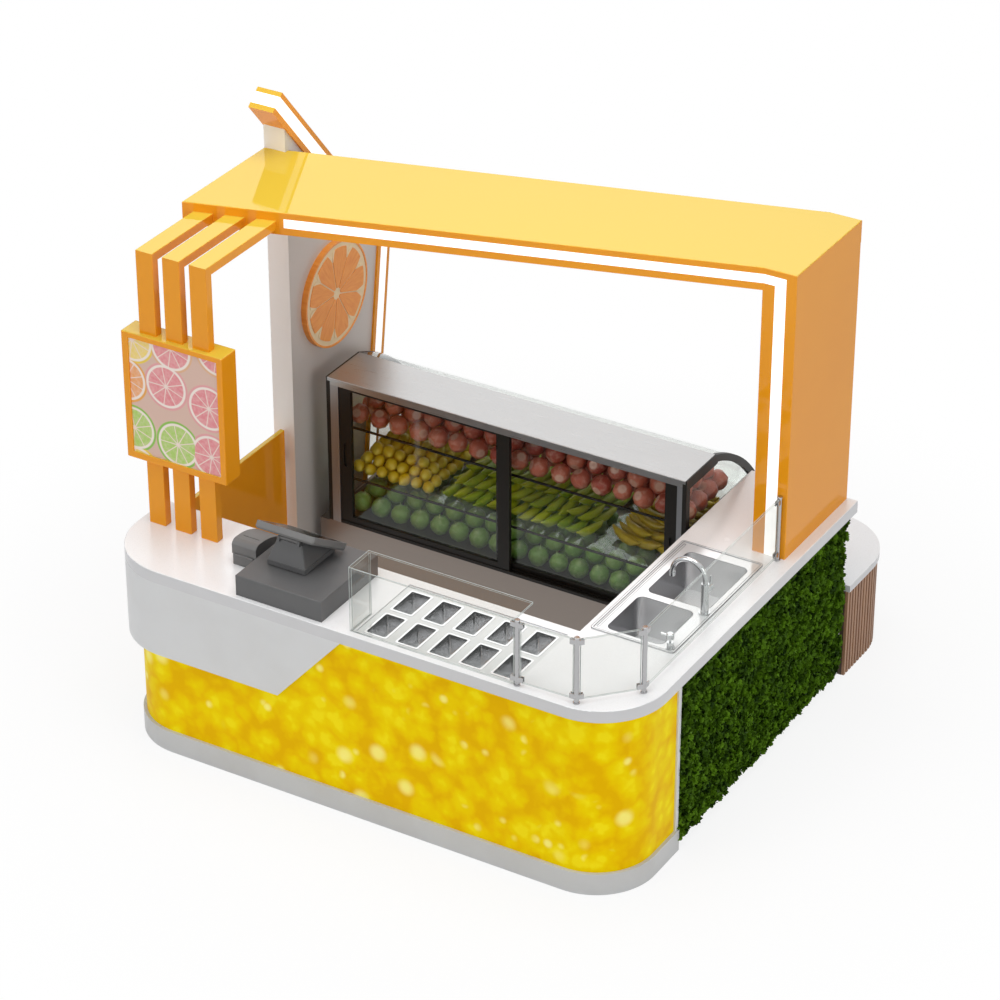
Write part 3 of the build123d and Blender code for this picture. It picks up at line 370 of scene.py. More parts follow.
# %% Pale drops on the panel
GROUP_SIZE, GROUP_EDGE = 2.2, 0.08
tint = ramp.outputs[0]
for size_mm, least in ((185.0, 0.44), (95.0, 0.57)):
    groups = patches(tree, place, grain_mm=GROUP_SIZE * size_mm, detail=0.0, begin=least,
                     end=least + GROUP_EDGE)
    drops = add(tree, "ShaderNodeTexVoronoi", {"Vector": place, "Scale": per_metre(size_mm)})
    drops = add(tree, "ShaderNodeMapRange", {"Value": drops, "From Min": 0.1, "From Max": 0.31,
                                             "To Min": 0.85, "To Max": 0.0}, interpolation_type="SMOOTHSTEP")
    drops = add(tree, "ShaderNodeMath", {0: drops, 1: groups}, operation="MULTIPLY")
    tint = add(tree, "ShaderNodeMix", {0: drops, 6: tint, 7: linear("#EFE37C")}, data_type="RGBA").outputs[2]
tree.links.new(tint, shader.inputs["Base Color"])
tree.links.new(tint, shader.inputs["Emission Color"])
shader.inputs["Emission Strength"].default_value = 0.22
dress(pulp, "front_light_panel")

# %% [markdown]
# The sign face is a printed acrylic sheet. It carries a plain pattern of round citrus slices in pink, orange,
# yellow and lime on a pinkish grey. A flat Voronoi texture spreads the slices: the distance to each middle
# makes rind, pith and flesh, the angle round it makes the segments, and its random colour picks the fruit.
# Everything is drawn from numbers, so it can be scaled to any sign.

# %% Places, radii and angles of the slices
SLICE_STEP_MM, SLICE_SEGMENTS = 238.0, 9
THIN_SKIN, THICK_SKIN = 0.006, 0.014
print_face, tree, shader, place = finish_of("citrus_slice_print", "#C9B4A8", roughness=0.35)
flat = add(tree, "ShaderNodeSeparateXYZ", {0: place})
flat = add(tree, "ShaderNodeCombineXYZ", {"X": flat.outputs["X"], "Y": flat.outputs["Z"]})
slices = add(tree, "ShaderNodeTexVoronoi", {"Vector": flat, "Scale": per_metre(SLICE_STEP_MM),
                                          "Randomness": 0.36}, voronoi_dimensions="2D")
middle = add(tree, "ShaderNodeVectorMath", {0: flat, 1: slices.outputs["Position"]}, operation="SUBTRACT")
radius = add(tree, "ShaderNodeVectorMath", {0: middle}, operation="LENGTH").outputs["Value"]
arm = add(tree, "ShaderNodeSeparateXYZ", {0: middle})
angle = add(tree, "ShaderNodeMath", {0: arm.outputs["Y"], 1: arm.outputs["X"]}, operation="ARCTAN2")
turns = add(tree, "ShaderNodeMath", {0: angle, 1: SLICE_SEGMENTS / 2}, operation="MULTIPLY")
spokes = add(tree, "ShaderNodeMath", {0: turns}, operation="COSINE")
spokes = add(tree, "ShaderNodeMath", {0: spokes}, operation="ABSOLUTE")
spokes = add(tree, "ShaderNodeMath", {0: spokes, 1: radius}, operation="MULTIPLY")
skin = add(tree, "ShaderNodeMapRange", {"Value": spokes, "From Min": THIN_SKIN, "From Max": THICK_SKIN,
                                        "To Min": 1.0, "To Max": 0.0})

# %% Colours of the sign print
pick = add(tree, "ShaderNodeSeparateColor", {0: slices.outputs["Color"]}).outputs["Red"]
fruit, rind = linear("#E4858C"), linear("#E3A0A0")
for least, flesh_code, rind_code in ((0.35, "#EC9F58", "#E8A44A"), (0.62, "#E5888E", "#DFB08A"),
                                     (0.8, "#A9CF5C", "#8CBF4A"), (0.9, "#F0D468", "#EBCB48")):
    over = add(tree, "ShaderNodeMath", {0: pick, 1: least}, operation="GREATER_THAN")
    fruit = add(tree, "ShaderNodeMix", {0: over, 6: fruit, 7: linear(flesh_code)},
                data_type="RGBA").outputs[2]
    rind = add(tree, "ShaderNodeMix", {0: over, 6: rind, 7: linear(rind_code)}, data_type="RGBA").outputs[2]
grain = patches(tree, place, grain_mm=14.0, detail=3.0, begin=0.3, high=0.6)
tint = add(tree, "ShaderNodeMix", {0: grain, 6: fruit, 7: linear("#F3D9D0")}, data_type="RGBA")
tint = add(tree, "ShaderNodeMix", {0: skin, 6: tint.outputs[2], 7: linear("#F1DCD2")}, data_type="RGBA")
SOFT_EDGE = 0.002
for edge, beyond_it in ((0.095, linear("#F4E6DC")), (0.107, rind), (0.118, linear("#DAB8A8"))):
    past = add(tree, "ShaderNodeMapRange", {"Value": radius, "From Min": edge - SOFT_EDGE,
                                            "From Max": edge + SOFT_EDGE})
    tint = add(tree, "ShaderNodeMix", {0: past, 6: tint.outputs[2], 7: beyond_it}, data_type="RGBA")
paint(tree, shader, tint)
dress(print_face, "sign_face")

# %% [markdown]
# The round citrus sign is cut from foam board and painted: cream pith, orange flesh. Brush and pulp show as
# faint streaks that run from the middle outwards, so the noise is read in polar form, by angle and radius,
# round the middle of the disc. The same two numbers paint the pith on between the segments' ends: a cosine
# that swings once for each segment sets how far out the flesh reaches.

# %% Citrus flesh and pith
CITRUS_MIDDLE, STREAKS_PER_RADIAN = (0.0, 0.434, 1.523), 14.0
SEGMENTS, SEGMENT_REACH, RIM_INSIDE = 9, 0.236, 0.25
SHORTEST, ROUNDING = 0.72, 0.5
flesh, tree, shader, place = finish_of("painted_citrus_flesh", "#F29A3A", roughness=0.45)
arm = add(tree, "ShaderNodeVectorMath", {0: place, 1: CITRUS_MIDDLE}, operation="SUBTRACT")
arm = add(tree, "ShaderNodeSeparateXYZ", {0: arm})
angle = add(tree, "ShaderNodeMath", {0: arm.outputs["Z"], 1: arm.outputs["Y"]}, operation="ARCTAN2")
across_arm = add(tree, "ShaderNodeCombineXYZ", {"X": arm.outputs["Y"], "Y": arm.outputs["Z"]})
radius = add(tree, "ShaderNodeVectorMath", {0: across_arm}, operation="LENGTH").outputs["Value"]
polar = add(tree, "ShaderNodeCombineXYZ", {"X": angle, "Y": radius})
streaks = add(tree, "ShaderNodeTexNoise", {"Vector": polar, "Scale": STREAKS_PER_RADIAN, "Detail": 4.0})
streaks = add(tree, "ShaderNodeMapRange", {"Value": streaks, "From Min": 0.3, "From Max": 0.7})
tint = add(tree, "ShaderNodeMix", {0: streaks, 6: linear("#EC8E30"), 7: linear("#F8A646")}, data_type="RGBA")
swing = add(tree, "ShaderNodeMath", {0: angle, 1: SEGMENTS / 2}, operation="MULTIPLY")
swing = add(tree, "ShaderNodeMath", {0: swing}, operation="COSINE")
swing = add(tree, "ShaderNodeMath", {0: swing}, operation="ABSOLUTE")
reach = add(tree, "ShaderNodeMath", {0: swing, 1: ROUNDING * SEGMENT_REACH, 2: SHORTEST * SEGMENT_REACH},
            operation="MULTIPLY_ADD")
beyond = add(tree, "ShaderNodeMath", {0: radius, 1: reach}, operation="SUBTRACT")
beyond = add(tree, "ShaderNodeMapRange", {"Value": beyond, "From Min": -SOFT_EDGE, "From Max": SOFT_EDGE})
on_face = add(tree, "ShaderNodeMath", {0: radius, 1: RIM_INSIDE}, operation="LESS_THAN")
beyond = add(tree, "ShaderNodeMath", {0: beyond, 1: on_face}, operation="MULTIPLY")
tint = add(tree, "ShaderNodeMix", {0: beyond, 6: tint.outputs[2], 7: linear("#EFD9AF")}, data_type="RGBA")
paint(tree, shader, tint)
dress(flesh, "citrus_flesh")

pith, tree, shader, place = finish_of("painted_citrus_pith", "#F0DCB4", roughness=0.5)
paint(tree, shader, mottled(tree, place, "#F3E2BF", "#E9CF9F", grain_mm=30.0, detail=3.0))
dress(pith, "citrus_pith")

# %% [markdown]
# Top, base and jambs of the display case are stainless sheet, brushed along its length by an abrasive belt. The
# eye gets a soft metal shine that is drawn out across the brushing. Noise stretched forty times along X gives
# the scratch lines, 1 mm wide and drawn three times as coarse to show. They change the roughness and the height
# a little. The top is wiped dull, and the base is a darker, warmer steel. Posts, sink and pans are polished, so
# they mirror more and their scratches run round at random. Sink and pans are painted brighter towards the
# bottom, as a painted reflection of the bright room, so their colour is mixed by the depth below the rim, in
# the sink mostly on the level parts and the back walls. There the countless scratches also scatter light as a
# matt surface does, so the shader's metal share is lower.

# %% Brushed and polished stainless steel
RIM_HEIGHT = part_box("sink_basin")[1][2]
BRIGHT_DEPTH, AS_FINE, ROUGH_SPREAD = 0.18, 0.35, 0.08
ALONG, ROUND = (40.0, 1.0, 1.0), (6.25, 6.25, 6.25)
for name, code, rough, scratch_mm, painted_light_on_walls, dulled, where in (
    ("brushed_stainless", "#A4A4A4", 0.3, ALONG, None, 0.25, ("case_top_panel",)),
    ("matt_stainless", "#989A9D", 0.42, ALONG, None, 0.0, ("case_jambs", "gate_hardware")),
    # The case base is a darker, warmer steel than the rest.
    ("dark_warm_stainless", "#8B827B", 0.36, ALONG, None, 0.0, ("case_base", "vent_grille")),
    ("polished_stainless", "#B4B4B5", 0.2, ROUND, None, 0.0, ("topping_well", "guard_posts")),
    ("pressed_stainless", "#C6C6C7", 0.15, ROUND, 1.0, 0.0, ("topping_pans",)),
    ("pressed_sink_steel", "#828284", 0.17, ROUND, 0.0, 0.85, ("sink_basin",)),
    ("rolled_edge_steel", "#77787A", 0.3, ROUND, None, 0.0, ()),
):
    steel, tree, shader, place = finish_of(name, code, metallic=1.0 - dulled, roughness=rough)
    stretch = [per_metre(size_mm) for size_mm in scratch_mm]
    drawn_out = add(tree, "ShaderNodeVectorMath", {0: place, 1: stretch}, operation="MULTIPLY")
    lines = add(tree, "ShaderNodeTexNoise", {"Vector": drawn_out, "Scale": AS_FINE, "Detail": 3.0})
    shine = add(tree, "ShaderNodeMapRange", {"Value": lines, "To Min": rough - ROUGH_SPREAD,
                                             "To Max": rough + ROUGH_SPREAD})
    tree.links.new(shine.outputs[0], shader.inputs["Roughness"])
    bump = add(tree, "ShaderNodeBump", {"Strength": 0.03, "Distance": 0.0003, "Height": lines})
    tree.links.new(bump.outputs[0], shader.inputs["Normal"])
    # Painted reflection: the steel is mixed to near white with depth below the rim, in the sink on level parts
    # and back walls.
    if painted_light_on_walls is not None:
        height = add(tree, "ShaderNodeSeparateXYZ", {0: place}).outputs["Z"]
        deep_and_bright = add(tree, "ShaderNodeMapRange", {"Value": height, "From Min": RIM_HEIGHT,
                                                "From Max": RIM_HEIGHT - BRIGHT_DEPTH, "To Min": dulled})
        looks = facing(tree)
        back_wall = add(tree, "ShaderNodeMath", {0: looks["Y"], 1: -1.0}, operation="MULTIPLY")
        painted_bright_faces = add(tree, "ShaderNodeMath", {0: looks["Z"], 1: back_wall}, operation="MAXIMUM")
        painted_bright_faces = add(tree, "ShaderNodeMath", {0: painted_bright_faces, 1: painted_light_on_walls}, operation="MAXIMUM")
        deep_and_bright = add(tree, "ShaderNodeMath", {0: deep_and_bright, 1: painted_bright_faces}, operation="MULTIPLY")
        if dulled:
            bare = add(tree, "ShaderNodeMath", {0: deep_and_bright, 1: -dulled, 2: 1.0}, operation="MULTIPLY_ADD")
            tree.links.new(bare.outputs[0], shader.inputs["Metallic"])
        tint = add(tree, "ShaderNodeMix", {0: deep_and_bright, 6: linear(code), 7: linear("#F2F2F3")}, data_type="RGBA")
        paint(tree, shader, tint)
    dress(steel, *where)

# %% [markdown]
# Faucet, soap pump and strainers are chromed brass: a near mirror, slightly blue, with dried drops that dull
# it in spots.

# %% Chrome
chrome, tree, shader, place = finish_of("chromed_brass", "#C2C4C5", metallic=1.0, roughness=0.07)
vary_shine(tree, shader, place, grain_mm=18.0, detail=2.0, low=0.05, high=0.2, begin=0.55, end=0.8)
dress(chrome, "sink_strainers", "faucet_body", "soap_base", "faucet_spout", "faucet_lever", "soap_pump")

# %% [markdown]
# Case frames and doors are aluminium with black powder coat, which melts on as a fine bumpy skin. Bumps of 2 mm
# give that skin, and wear from cleaning varies its shine over 160 mm.

# %% Black powder coat
black, tree, shader, place = finish_of("black_powder_coat", "#1E1B17", roughness=0.42,
                                       Specular_IOR_Level=0.25)
emboss(tree, shader, place, grain_mm=2.0, detail=2.0, strength=0.15, height=0.0004)
vary_shine(tree, shader, place, grain_mm=160.0, detail=4.0, low=0.34, high=0.5)
dress(black, "case_tracks", "case_end_frames", "case_shelf_frames", "door_left_frame", "door_right_frame")

# %% [markdown]
# All panes are clear float glass, 5 to 8 mm thick. A pane this thin bends nothing, so it is drawn as what
# the eye gets: it lets light straight through, a trace green, and mirrors a little, more at a low angle.
# A Transparent shader is mixed with a mirror by Fresnel, on the side that faces the eye alone, because the
# formula turns a far side into a full mirror. Wiped smears change the gloss slightly. The guard is of the
# thicker glass, which swallows a little more.

# %% Clear glass
for name, code, where in (
    ("clear_float_glass", "#FBFCFB", ("case_end_glass", "case_curved_glass", "case_shelf_glass",
                                      "door_left_glass", "door_right_glass")),
    ("thick_float_glass", "#F5F6F5", ("guard_glass",)),
):
    glass, tree, shader, place = finish_of(name, "#F4F7F6", metallic=1.0, roughness=0.03)
    through = add(tree, "ShaderNodeBsdfTransparent", {"Color": linear(code)})
    front = add(tree, "ShaderNodeNewGeometry").outputs["Backfacing"]
    front = add(tree, "ShaderNodeMath", {0: 1.0, 1: front}, operation="SUBTRACT")
    mirror = add(tree, "ShaderNodeFresnel", {"IOR": 1.5})
    mirror = add(tree, "ShaderNodeMath", {0: mirror, 1: front}, operation="MULTIPLY")
    vary_shine(tree, shader, place, grain_mm=120.0, detail=4.0, low=0.02, high=0.07)
    pane = add(tree, "ShaderNodeMixShader", {0: mirror, 1: through, 2: shader})
    tree.links.new(pane.outputs[0], tree.nodes["Material Output"].inputs["Surface"])
    dress(glass, *where)

# %% [markdown]
# The ledge is clad with upright slats of oiled hardwood on a dark board. Grain runs along each slat, so the
# noise is squeezed across and drawn out along Z. A slow second noise makes some slats darker than others.

# %% Slats and the board behind them
GRAIN_STRETCH, WHOLE_SLAT = (1.0, 1.0, 0.04), (1.0, 1.0, 0.0)
wood, tree, shader, place = finish_of("oiled_hardwood_slats", "#A9825F", roughness=0.5)
along = add(tree, "ShaderNodeVectorMath", {0: place, 1: GRAIN_STRETCH}, operation="MULTIPLY")
grain = add(tree, "ShaderNodeTexNoise", {"Vector": along, "Scale": per_metre(4.0), "Detail": 5.0})
tint = add(tree, "ShaderNodeMix", {0: grain, 6: linear("#B8906E"), 7: linear("#94694C")}, data_type="RGBA")
pieces = add(tree, "ShaderNodeVectorMath", {0: place, 1: WHOLE_SLAT}, operation="MULTIPLY")
pieces = patches(tree, pieces, grain_mm=40.0, detail=0.0, begin=0.35, end=0.65, high=0.4)
tint = add(tree, "ShaderNodeMix", {0: pieces, 6: tint.outputs[2], 7: linear("#8A6550")}, data_type="RGBA")
paint(tree, shader, tint)
bump = add(tree, "ShaderNodeBump", {"Strength": 0.2, "Distance": 0.0005, "Height": grain})
tree.links.new(bump.outputs[0], shader.inputs["Normal"])
dress(wood, "slat_cladding")

backing, tree, shader, place = finish_of("dark_stained_board", "#4A3A30", roughness=0.6)
paint(tree, shader, mottled(tree, place, "#54432F", "#3B2E27", grain_mm=12.0, detail=5.0))
dress(backing, "rear_ledge_carcass")

# %% [markdown]
# Cash drawer, screen, stand and printer are moulded ABS or textured steel in dark grey. The mould is spark
# eroded, which leaves an even grain of about 1 mm that kills reflections. It is drawn at 2 mm to show. The
# screen itself is dark glass over black, with a faint wipe mark.

# %% Dark grey plastic and the screen
for name, clean, worn, where in (
    ("moulded_grey_plastic", "#606060", "#565657", ("cash_drawer_case", "cash_drawer", "pos_stand")),
    ("pale_grey_plastic", "#747372", "#686766", ("pos_screen", "printer_body", "printer_cover")),
):
    plastic, tree, shader, place = finish_of(name, clean, roughness=0.5)
    emboss(tree, shader, place, grain_mm=2.0, detail=1.0, strength=0.2, height=0.0005)
    paint(tree, shader, mottled(tree, place, clean, worn, grain_mm=90.0, detail=4.0))
    dress(plastic, *where)

screen, tree, shader, place = finish_of("dark_screen_glass", "#15171A", roughness=0.1)
vary_shine(tree, shader, place, grain_mm=60.0, detail=4.0, low=0.06, high=0.2)
dress(screen, "pos_screen_glass")

# %% [markdown]
# Now the pieces that the CAD model leaves to Blender: fruit, plants, bright edges and screws. They repeat one
# small shape or follow an edge, which is what Geometry Nodes are for. A tree is a recipe with named inputs. The
# object that it runs on starts as the one small shape, and the tree lays out copies of it. The result is kept
# as a plain mesh. Every small shape is drawn in a bmesh first, and one helper turns that into a mesh.


# %% Helpers that begin, end and run a recipe
def as_mesh(body, name):
    """Keeps a finished bmesh as a mesh."""
    mesh = bpy.data.meshes.new(name)
    body.to_mesh(mesh)
    body.free()
    return mesh


def new_recipe(name, sockets):
    """A geometry node tree with a geometry input and output and further named inputs."""
    tree = bpy.data.node_groups.new(name, "GeometryNodeTree")
    tree.interface.new_socket("Geometry", in_out="INPUT", socket_type="NodeSocketGeometry")
    for socket, kind in sockets.items():
        tree.interface.new_socket(socket, in_out="INPUT", socket_type="NodeSocket" + kind)
    tree.interface.new_socket("Geometry", in_out="OUTPUT", socket_type="NodeSocketGeometry")
    return tree, add(tree, "NodeGroupInput").outputs


def end_recipe(tree, copies, finish):
    """Makes the copies real, gives them their finish and hands them out."""
    real = add(tree, "GeometryNodeRealizeInstances", {"Geometry": copies})
    painted = add(tree, "GeometryNodeSetMaterial", {"Geometry": real, "Material": finish})
    add(tree, "NodeGroupOutput", {0: painted})
    print("recipe", tree.name, "with", len(tree.nodes), "nodes")


def grow(name, recipe, shape, sizes):
    """Runs a recipe on a shape and keeps the result as a plain mesh at the origin."""
    piece = bpy.data.objects.new(name, shape)
    bpy.context.scene.collection.objects.link(piece)
    modifier = piece.modifiers.new("recipe", "NODES")
    modifier.node_group = recipe
    for item in recipe.interface.items_tree:
        if item.item_type == "SOCKET" and item.in_out == "INPUT" and item.name in sizes:
            modifier[item.identifier] = sizes[item.name]
    graph = bpy.context.evaluated_depsgraph_get()
    result = bpy.data.meshes.new_from_object(piece.evaluated_get(graph), depsgraph=graph)
    piece.modifiers.clear()
    piece.data = result
    result.name = name
    print(name, len(result.polygons), "faces")
    return piece


# %% [markdown]
# The first recipe piles copies up. It counts points, works out column, row and layer from each number, and
# sets every layer half a step in, as a greengrocer stacks apples. Small random shifts, turns and sizes keep
# the pile from looking printed, and a random "tone" goes along with each copy for its colour. With one layer
# and no randomness the same recipe sets screws in line.

# %% Recipe for piles and rows
pile, given = new_recipe("pile", {
    "Columns": "Int", "Rows": "Int", "Layers": "Int", "First": "Vector", "Column Step": "Vector",
    "Row Step": "Vector", "Layer Step": "Vector", "Turn": "Vector", "Loose": "Float", "Tumble": "Vector",
    "Uneven": "Float", "Seed": "Int", "Finish": "Material"})
per_layer = add(pile, "ShaderNodeMath", {0: given["Columns"], 1: given["Rows"]}, operation="MULTIPLY")
count = add(pile, "ShaderNodeMath", {0: per_layer, 1: given["Layers"]}, operation="MULTIPLY")
number = add(pile, "GeometryNodeInputIndex")
column = add(pile, "ShaderNodeMath", {0: number, 1: given["Columns"]}, operation="MODULO")
row = add(pile, "ShaderNodeMath", {0: number, 1: given["Columns"]}, operation="DIVIDE")
row = add(pile, "ShaderNodeMath", {0: row}, operation="FLOOR")
row = add(pile, "ShaderNodeMath", {0: row, 1: given["Rows"]}, operation="MODULO")
layer = add(pile, "ShaderNodeMath", {0: number, 1: per_layer}, operation="DIVIDE")
layer = add(pile, "ShaderNodeMath", {0: layer}, operation="FLOOR")
spot = given["First"]
for steps, step in ((column, "Column Step"), (row, "Row Step")):
    moved = add(pile, "ShaderNodeMath", {0: layer, 1: 0.5, 2: steps}, operation="MULTIPLY_ADD")
    part = add(pile, "ShaderNodeVectorMath", {0: given[step], "Scale": moved}, operation="SCALE")
    spot = add(pile, "ShaderNodeVectorMath", {0: spot, 1: part}, operation="ADD").outputs[0]
part = add(pile, "ShaderNodeVectorMath", {0: given["Layer Step"], "Scale": layer}, operation="SCALE")
spot = add(pile, "ShaderNodeVectorMath", {0: spot, 1: part}, operation="ADD")
least = add(pile, "ShaderNodeMath", {0: given["Loose"], 1: -1.0}, operation="MULTIPLY")
shift = add(pile, "FunctionNodeRandomValue", {0: least, 1: given["Loose"], 8: given["Seed"]},
            data_type="FLOAT_VECTOR")
spot = add(pile, "ShaderNodeVectorMath", {0: spot, 1: shift}, operation="ADD")
points = add(pile, "GeometryNodePoints", {"Count": count, "Position": spot})

# %% Turning, sizing and colouring the copies
SEED_STEP = 7.0
tone = add(pile, "FunctionNodeRandomValue", {8: given["Seed"]}, data_type="FLOAT")
marked = add(pile, "GeometryNodeStoreNamedAttribute", {"Geometry": points, "Name": "tone",
                                                       "Value": tone.outputs[1]},
             data_type="FLOAT", domain="POINT")
inside = []
for steps, limit in ((column, "Columns"), (row, "Rows")):
    left = add(pile, "ShaderNodeMath", {0: given[limit], 1: layer}, operation="SUBTRACT")
    inside.append(add(pile, "ShaderNodeMath", {0: steps, 1: left}, operation="LESS_THAN"))
stays = add(pile, "ShaderNodeMath", {0: inside[0], 1: inside[1]}, operation="MULTIPLY")
back = add(pile, "ShaderNodeVectorMath", {0: given["Tumble"], "Scale": -1.0}, operation="SCALE")
other_seed = add(pile, "ShaderNodeMath", {0: given["Seed"], 1: SEED_STEP}, operation="ADD")
turn = add(pile, "FunctionNodeRandomValue", {0: back, 1: given["Tumble"], 8: other_seed},
           data_type="FLOAT_VECTOR")
turn = add(pile, "ShaderNodeVectorMath", {0: given["Turn"], 1: turn}, operation="ADD")
low = add(pile, "ShaderNodeMath", {0: 1.0, 1: given["Uneven"]}, operation="SUBTRACT")
high = add(pile, "ShaderNodeMath", {0: 1.0, 1: given["Uneven"]}, operation="ADD")
size = add(pile, "FunctionNodeRandomValue", {2: low, 3: high, 8: other_seed}, data_type="FLOAT")
copies = add(pile, "GeometryNodeInstanceOnPoints", {"Points": marked, "Selection": stays,
                                                    "Instance": given["Geometry"], "Rotation": turn,
                                                    "Scale": size.outputs[1]})
end_recipe(pile, copies, given["Finish"])

# %% [markdown]
# Round fruit is turned like wood on a lathe: a list of radii and heights is spun about the upright axis. The
# dimples of an apple or the tips of a lemon are just points of that list. A few dozen faces each are enough,
# with smooth shading, because hundreds of them lie behind glass. Each corner also keeps how near it is to an
# end of the fruit, as an attribute named "blush", because ripe fruit is paler there.


# %% Turned fruit shapes
PALE_WITHIN, PALE_ENDS = 0.018, 0.027


def turned(name, sides, profile):
    """A closed mesh spun from (radius, height) pairs about the Z axis, with pale ends."""
    body = bmesh.new()
    rings = []
    for radius, height in profile:
        if radius == 0:
            rings.append([body.verts.new((0, 0, height))])
            continue
        ring = []
        for k in range(sides):
            a = 2 * math.pi * k / sides
            ring.append(body.verts.new((radius * math.cos(a), radius * math.sin(a), height)))
        rings.append(ring)
    for below, above in zip(rings, rings[1:]):
        for k in range(sides):
            loop = [below[k % len(below)], below[(k + 1) % len(below)], above[(k + 1) % len(above)],
                    above[k % len(above)]]
            body.faces.new(list(dict.fromkeys(loop))).smooth = True
    mesh = as_mesh(body, name)
    blush = mesh.attributes.new("blush", "FLOAT", "POINT")
    for vertex in mesh.vertices:
        share = (PALE_ENDS - vertex.co.xy.length) / (PALE_ENDS - PALE_WITHIN)
        blush.data[vertex.index].value = min(1.0, max(0.0, share))
    return mesh


apple_shape = turned("apple_shape", 8, [(0, -0.036), (0.022, -0.042), (0.045, -0.022), (0.052, 0.004),
                                        (0.043, 0.032), (0.028, 0.043), (0.018, 0.046), (0.003, 0.036),
                                        (0, 0.056)])
lemon_shape = turned("lemon_shape", 8, [(0, -0.045), (0.011, -0.036), (0.027, -0.018), (0.031, 0.002),
                                        (0.025, 0.022), (0.011, 0.036), (0, 0.046)])
melon_shape = turned("melon_shape", 10, [(0, -0.049), (0.03, -0.041), (0.05, -0.012), (0.049, 0.016),
                                         (0.03, 0.041), (0.004, 0.047), (0, 0.066)])
print("fruit shapes", [len(m.polygons) for m in (apple_shape, lemon_shape, melon_shape)])

# %% [markdown]
# A banana is a bent, five-sided finger that tapers to its ends. It is swept by hand: a five-cornered ring is
# set at points along an arc, each ring square to the arc.


# %% Banana shape
BEND, CORNERS = 1.1, 5


def banana(name, length, thick):
    """A curved finger that lies along Y with both ends up."""
    body = bmesh.new()
    rings = []
    arc = length / BEND
    for t, width in ((0.0, 0.22), (0.06, 0.26), (0.13, 0.5), (0.3, 0.95), (0.55, 1.0), (0.8, 0.8),
                     (0.93, 0.42), (1.0, 0.2)):
        a = (t - 0.5) * BEND
        middle = Vector((0, arc * math.sin(a), arc * (1 - math.cos(a))))
        out = Vector((0, -math.sin(a), math.cos(a)))
        ring = []
        for k in range(CORNERS):
            b = 2 * math.pi * k / CORNERS
            spoke = Vector((math.cos(b), 0, 0)) + out * math.sin(b)
            ring.append(body.verts.new(middle + spoke * thick * width))
        rings.append(ring)
    for below, above in zip(rings, rings[1:]):
        for k in range(CORNERS):
            n = (k + 1) % CORNERS
            body.faces.new((below[k], below[n], above[n], above[k])).smooth = True
    body.faces.new(rings[0])
    body.faces.new(rings[-1])
    bmesh.ops.recalc_face_normals(body, faces=body.faces)
    return as_mesh(body, name)


banana_shape = banana("banana_shape", 0.19, 0.024)
print("banana", len(banana_shape.polygons), "faces")

# %% [markdown]
# Fruit skin has three layers of colour: the fruit's own, which the random tone shifts from one to the next,
# a paler mottle of about 28 mm and at the ends, and fine pores. It is waxy, so it has a clear soft highlight.

# %% Fruit skins
skins = {}
for name, ripe, green, mottle in (
    ("apple_skin", "#A8382A", "#DA7C60", "#EEBCA6"),
    ("lemon_peel", "#F0CC10", "#E0C41C", "#F4DE50"),
    ("banana_peel", "#C6CE1E", "#96B82A", "#D8DA40"),
    ("ripe_banana_peel", "#D2B60C", "#C2A614", "#E2C634"),
    ("melon_rind", "#8FB858", "#74A640", "#B6D28C"),
):
    skin, tree, shader, place = finish_of(name, ripe, roughness=0.36)
    tone = add(tree, "ShaderNodeAttribute", attribute_name="tone")
    tint = add(tree, "ShaderNodeMix", {0: tone.outputs["Fac"], 6: linear(ripe), 7: linear(green)},
               data_type="RGBA")
    patch = patches(tree, place, grain_mm=28.0, detail=4.0, begin=0.5, end=0.78, high=0.7)
    blush = add(tree, "ShaderNodeAttribute", attribute_name="blush")
    patch = add(tree, "ShaderNodeMath", {0: patch, 1: blush.outputs["Fac"]}, operation="MAXIMUM")
    tint = add(tree, "ShaderNodeMix", {0: patch, 6: tint.outputs[2], 7: linear(mottle)}, data_type="RGBA")
    paint(tree, shader, tint)
    emboss(tree, shader, place, grain_mm=3.0, detail=1.0, strength=0.15, height=0.0006)
    skins[name] = skin
print("skins", list(skins))

# %% [markdown]
# The fruit lies on the two glass shelves and on the steel deck of the case. Each kind is one pile with its own
# count, spacing and tumble. Every first point is half a fruit above its shelf, so nothing hangs in the air.

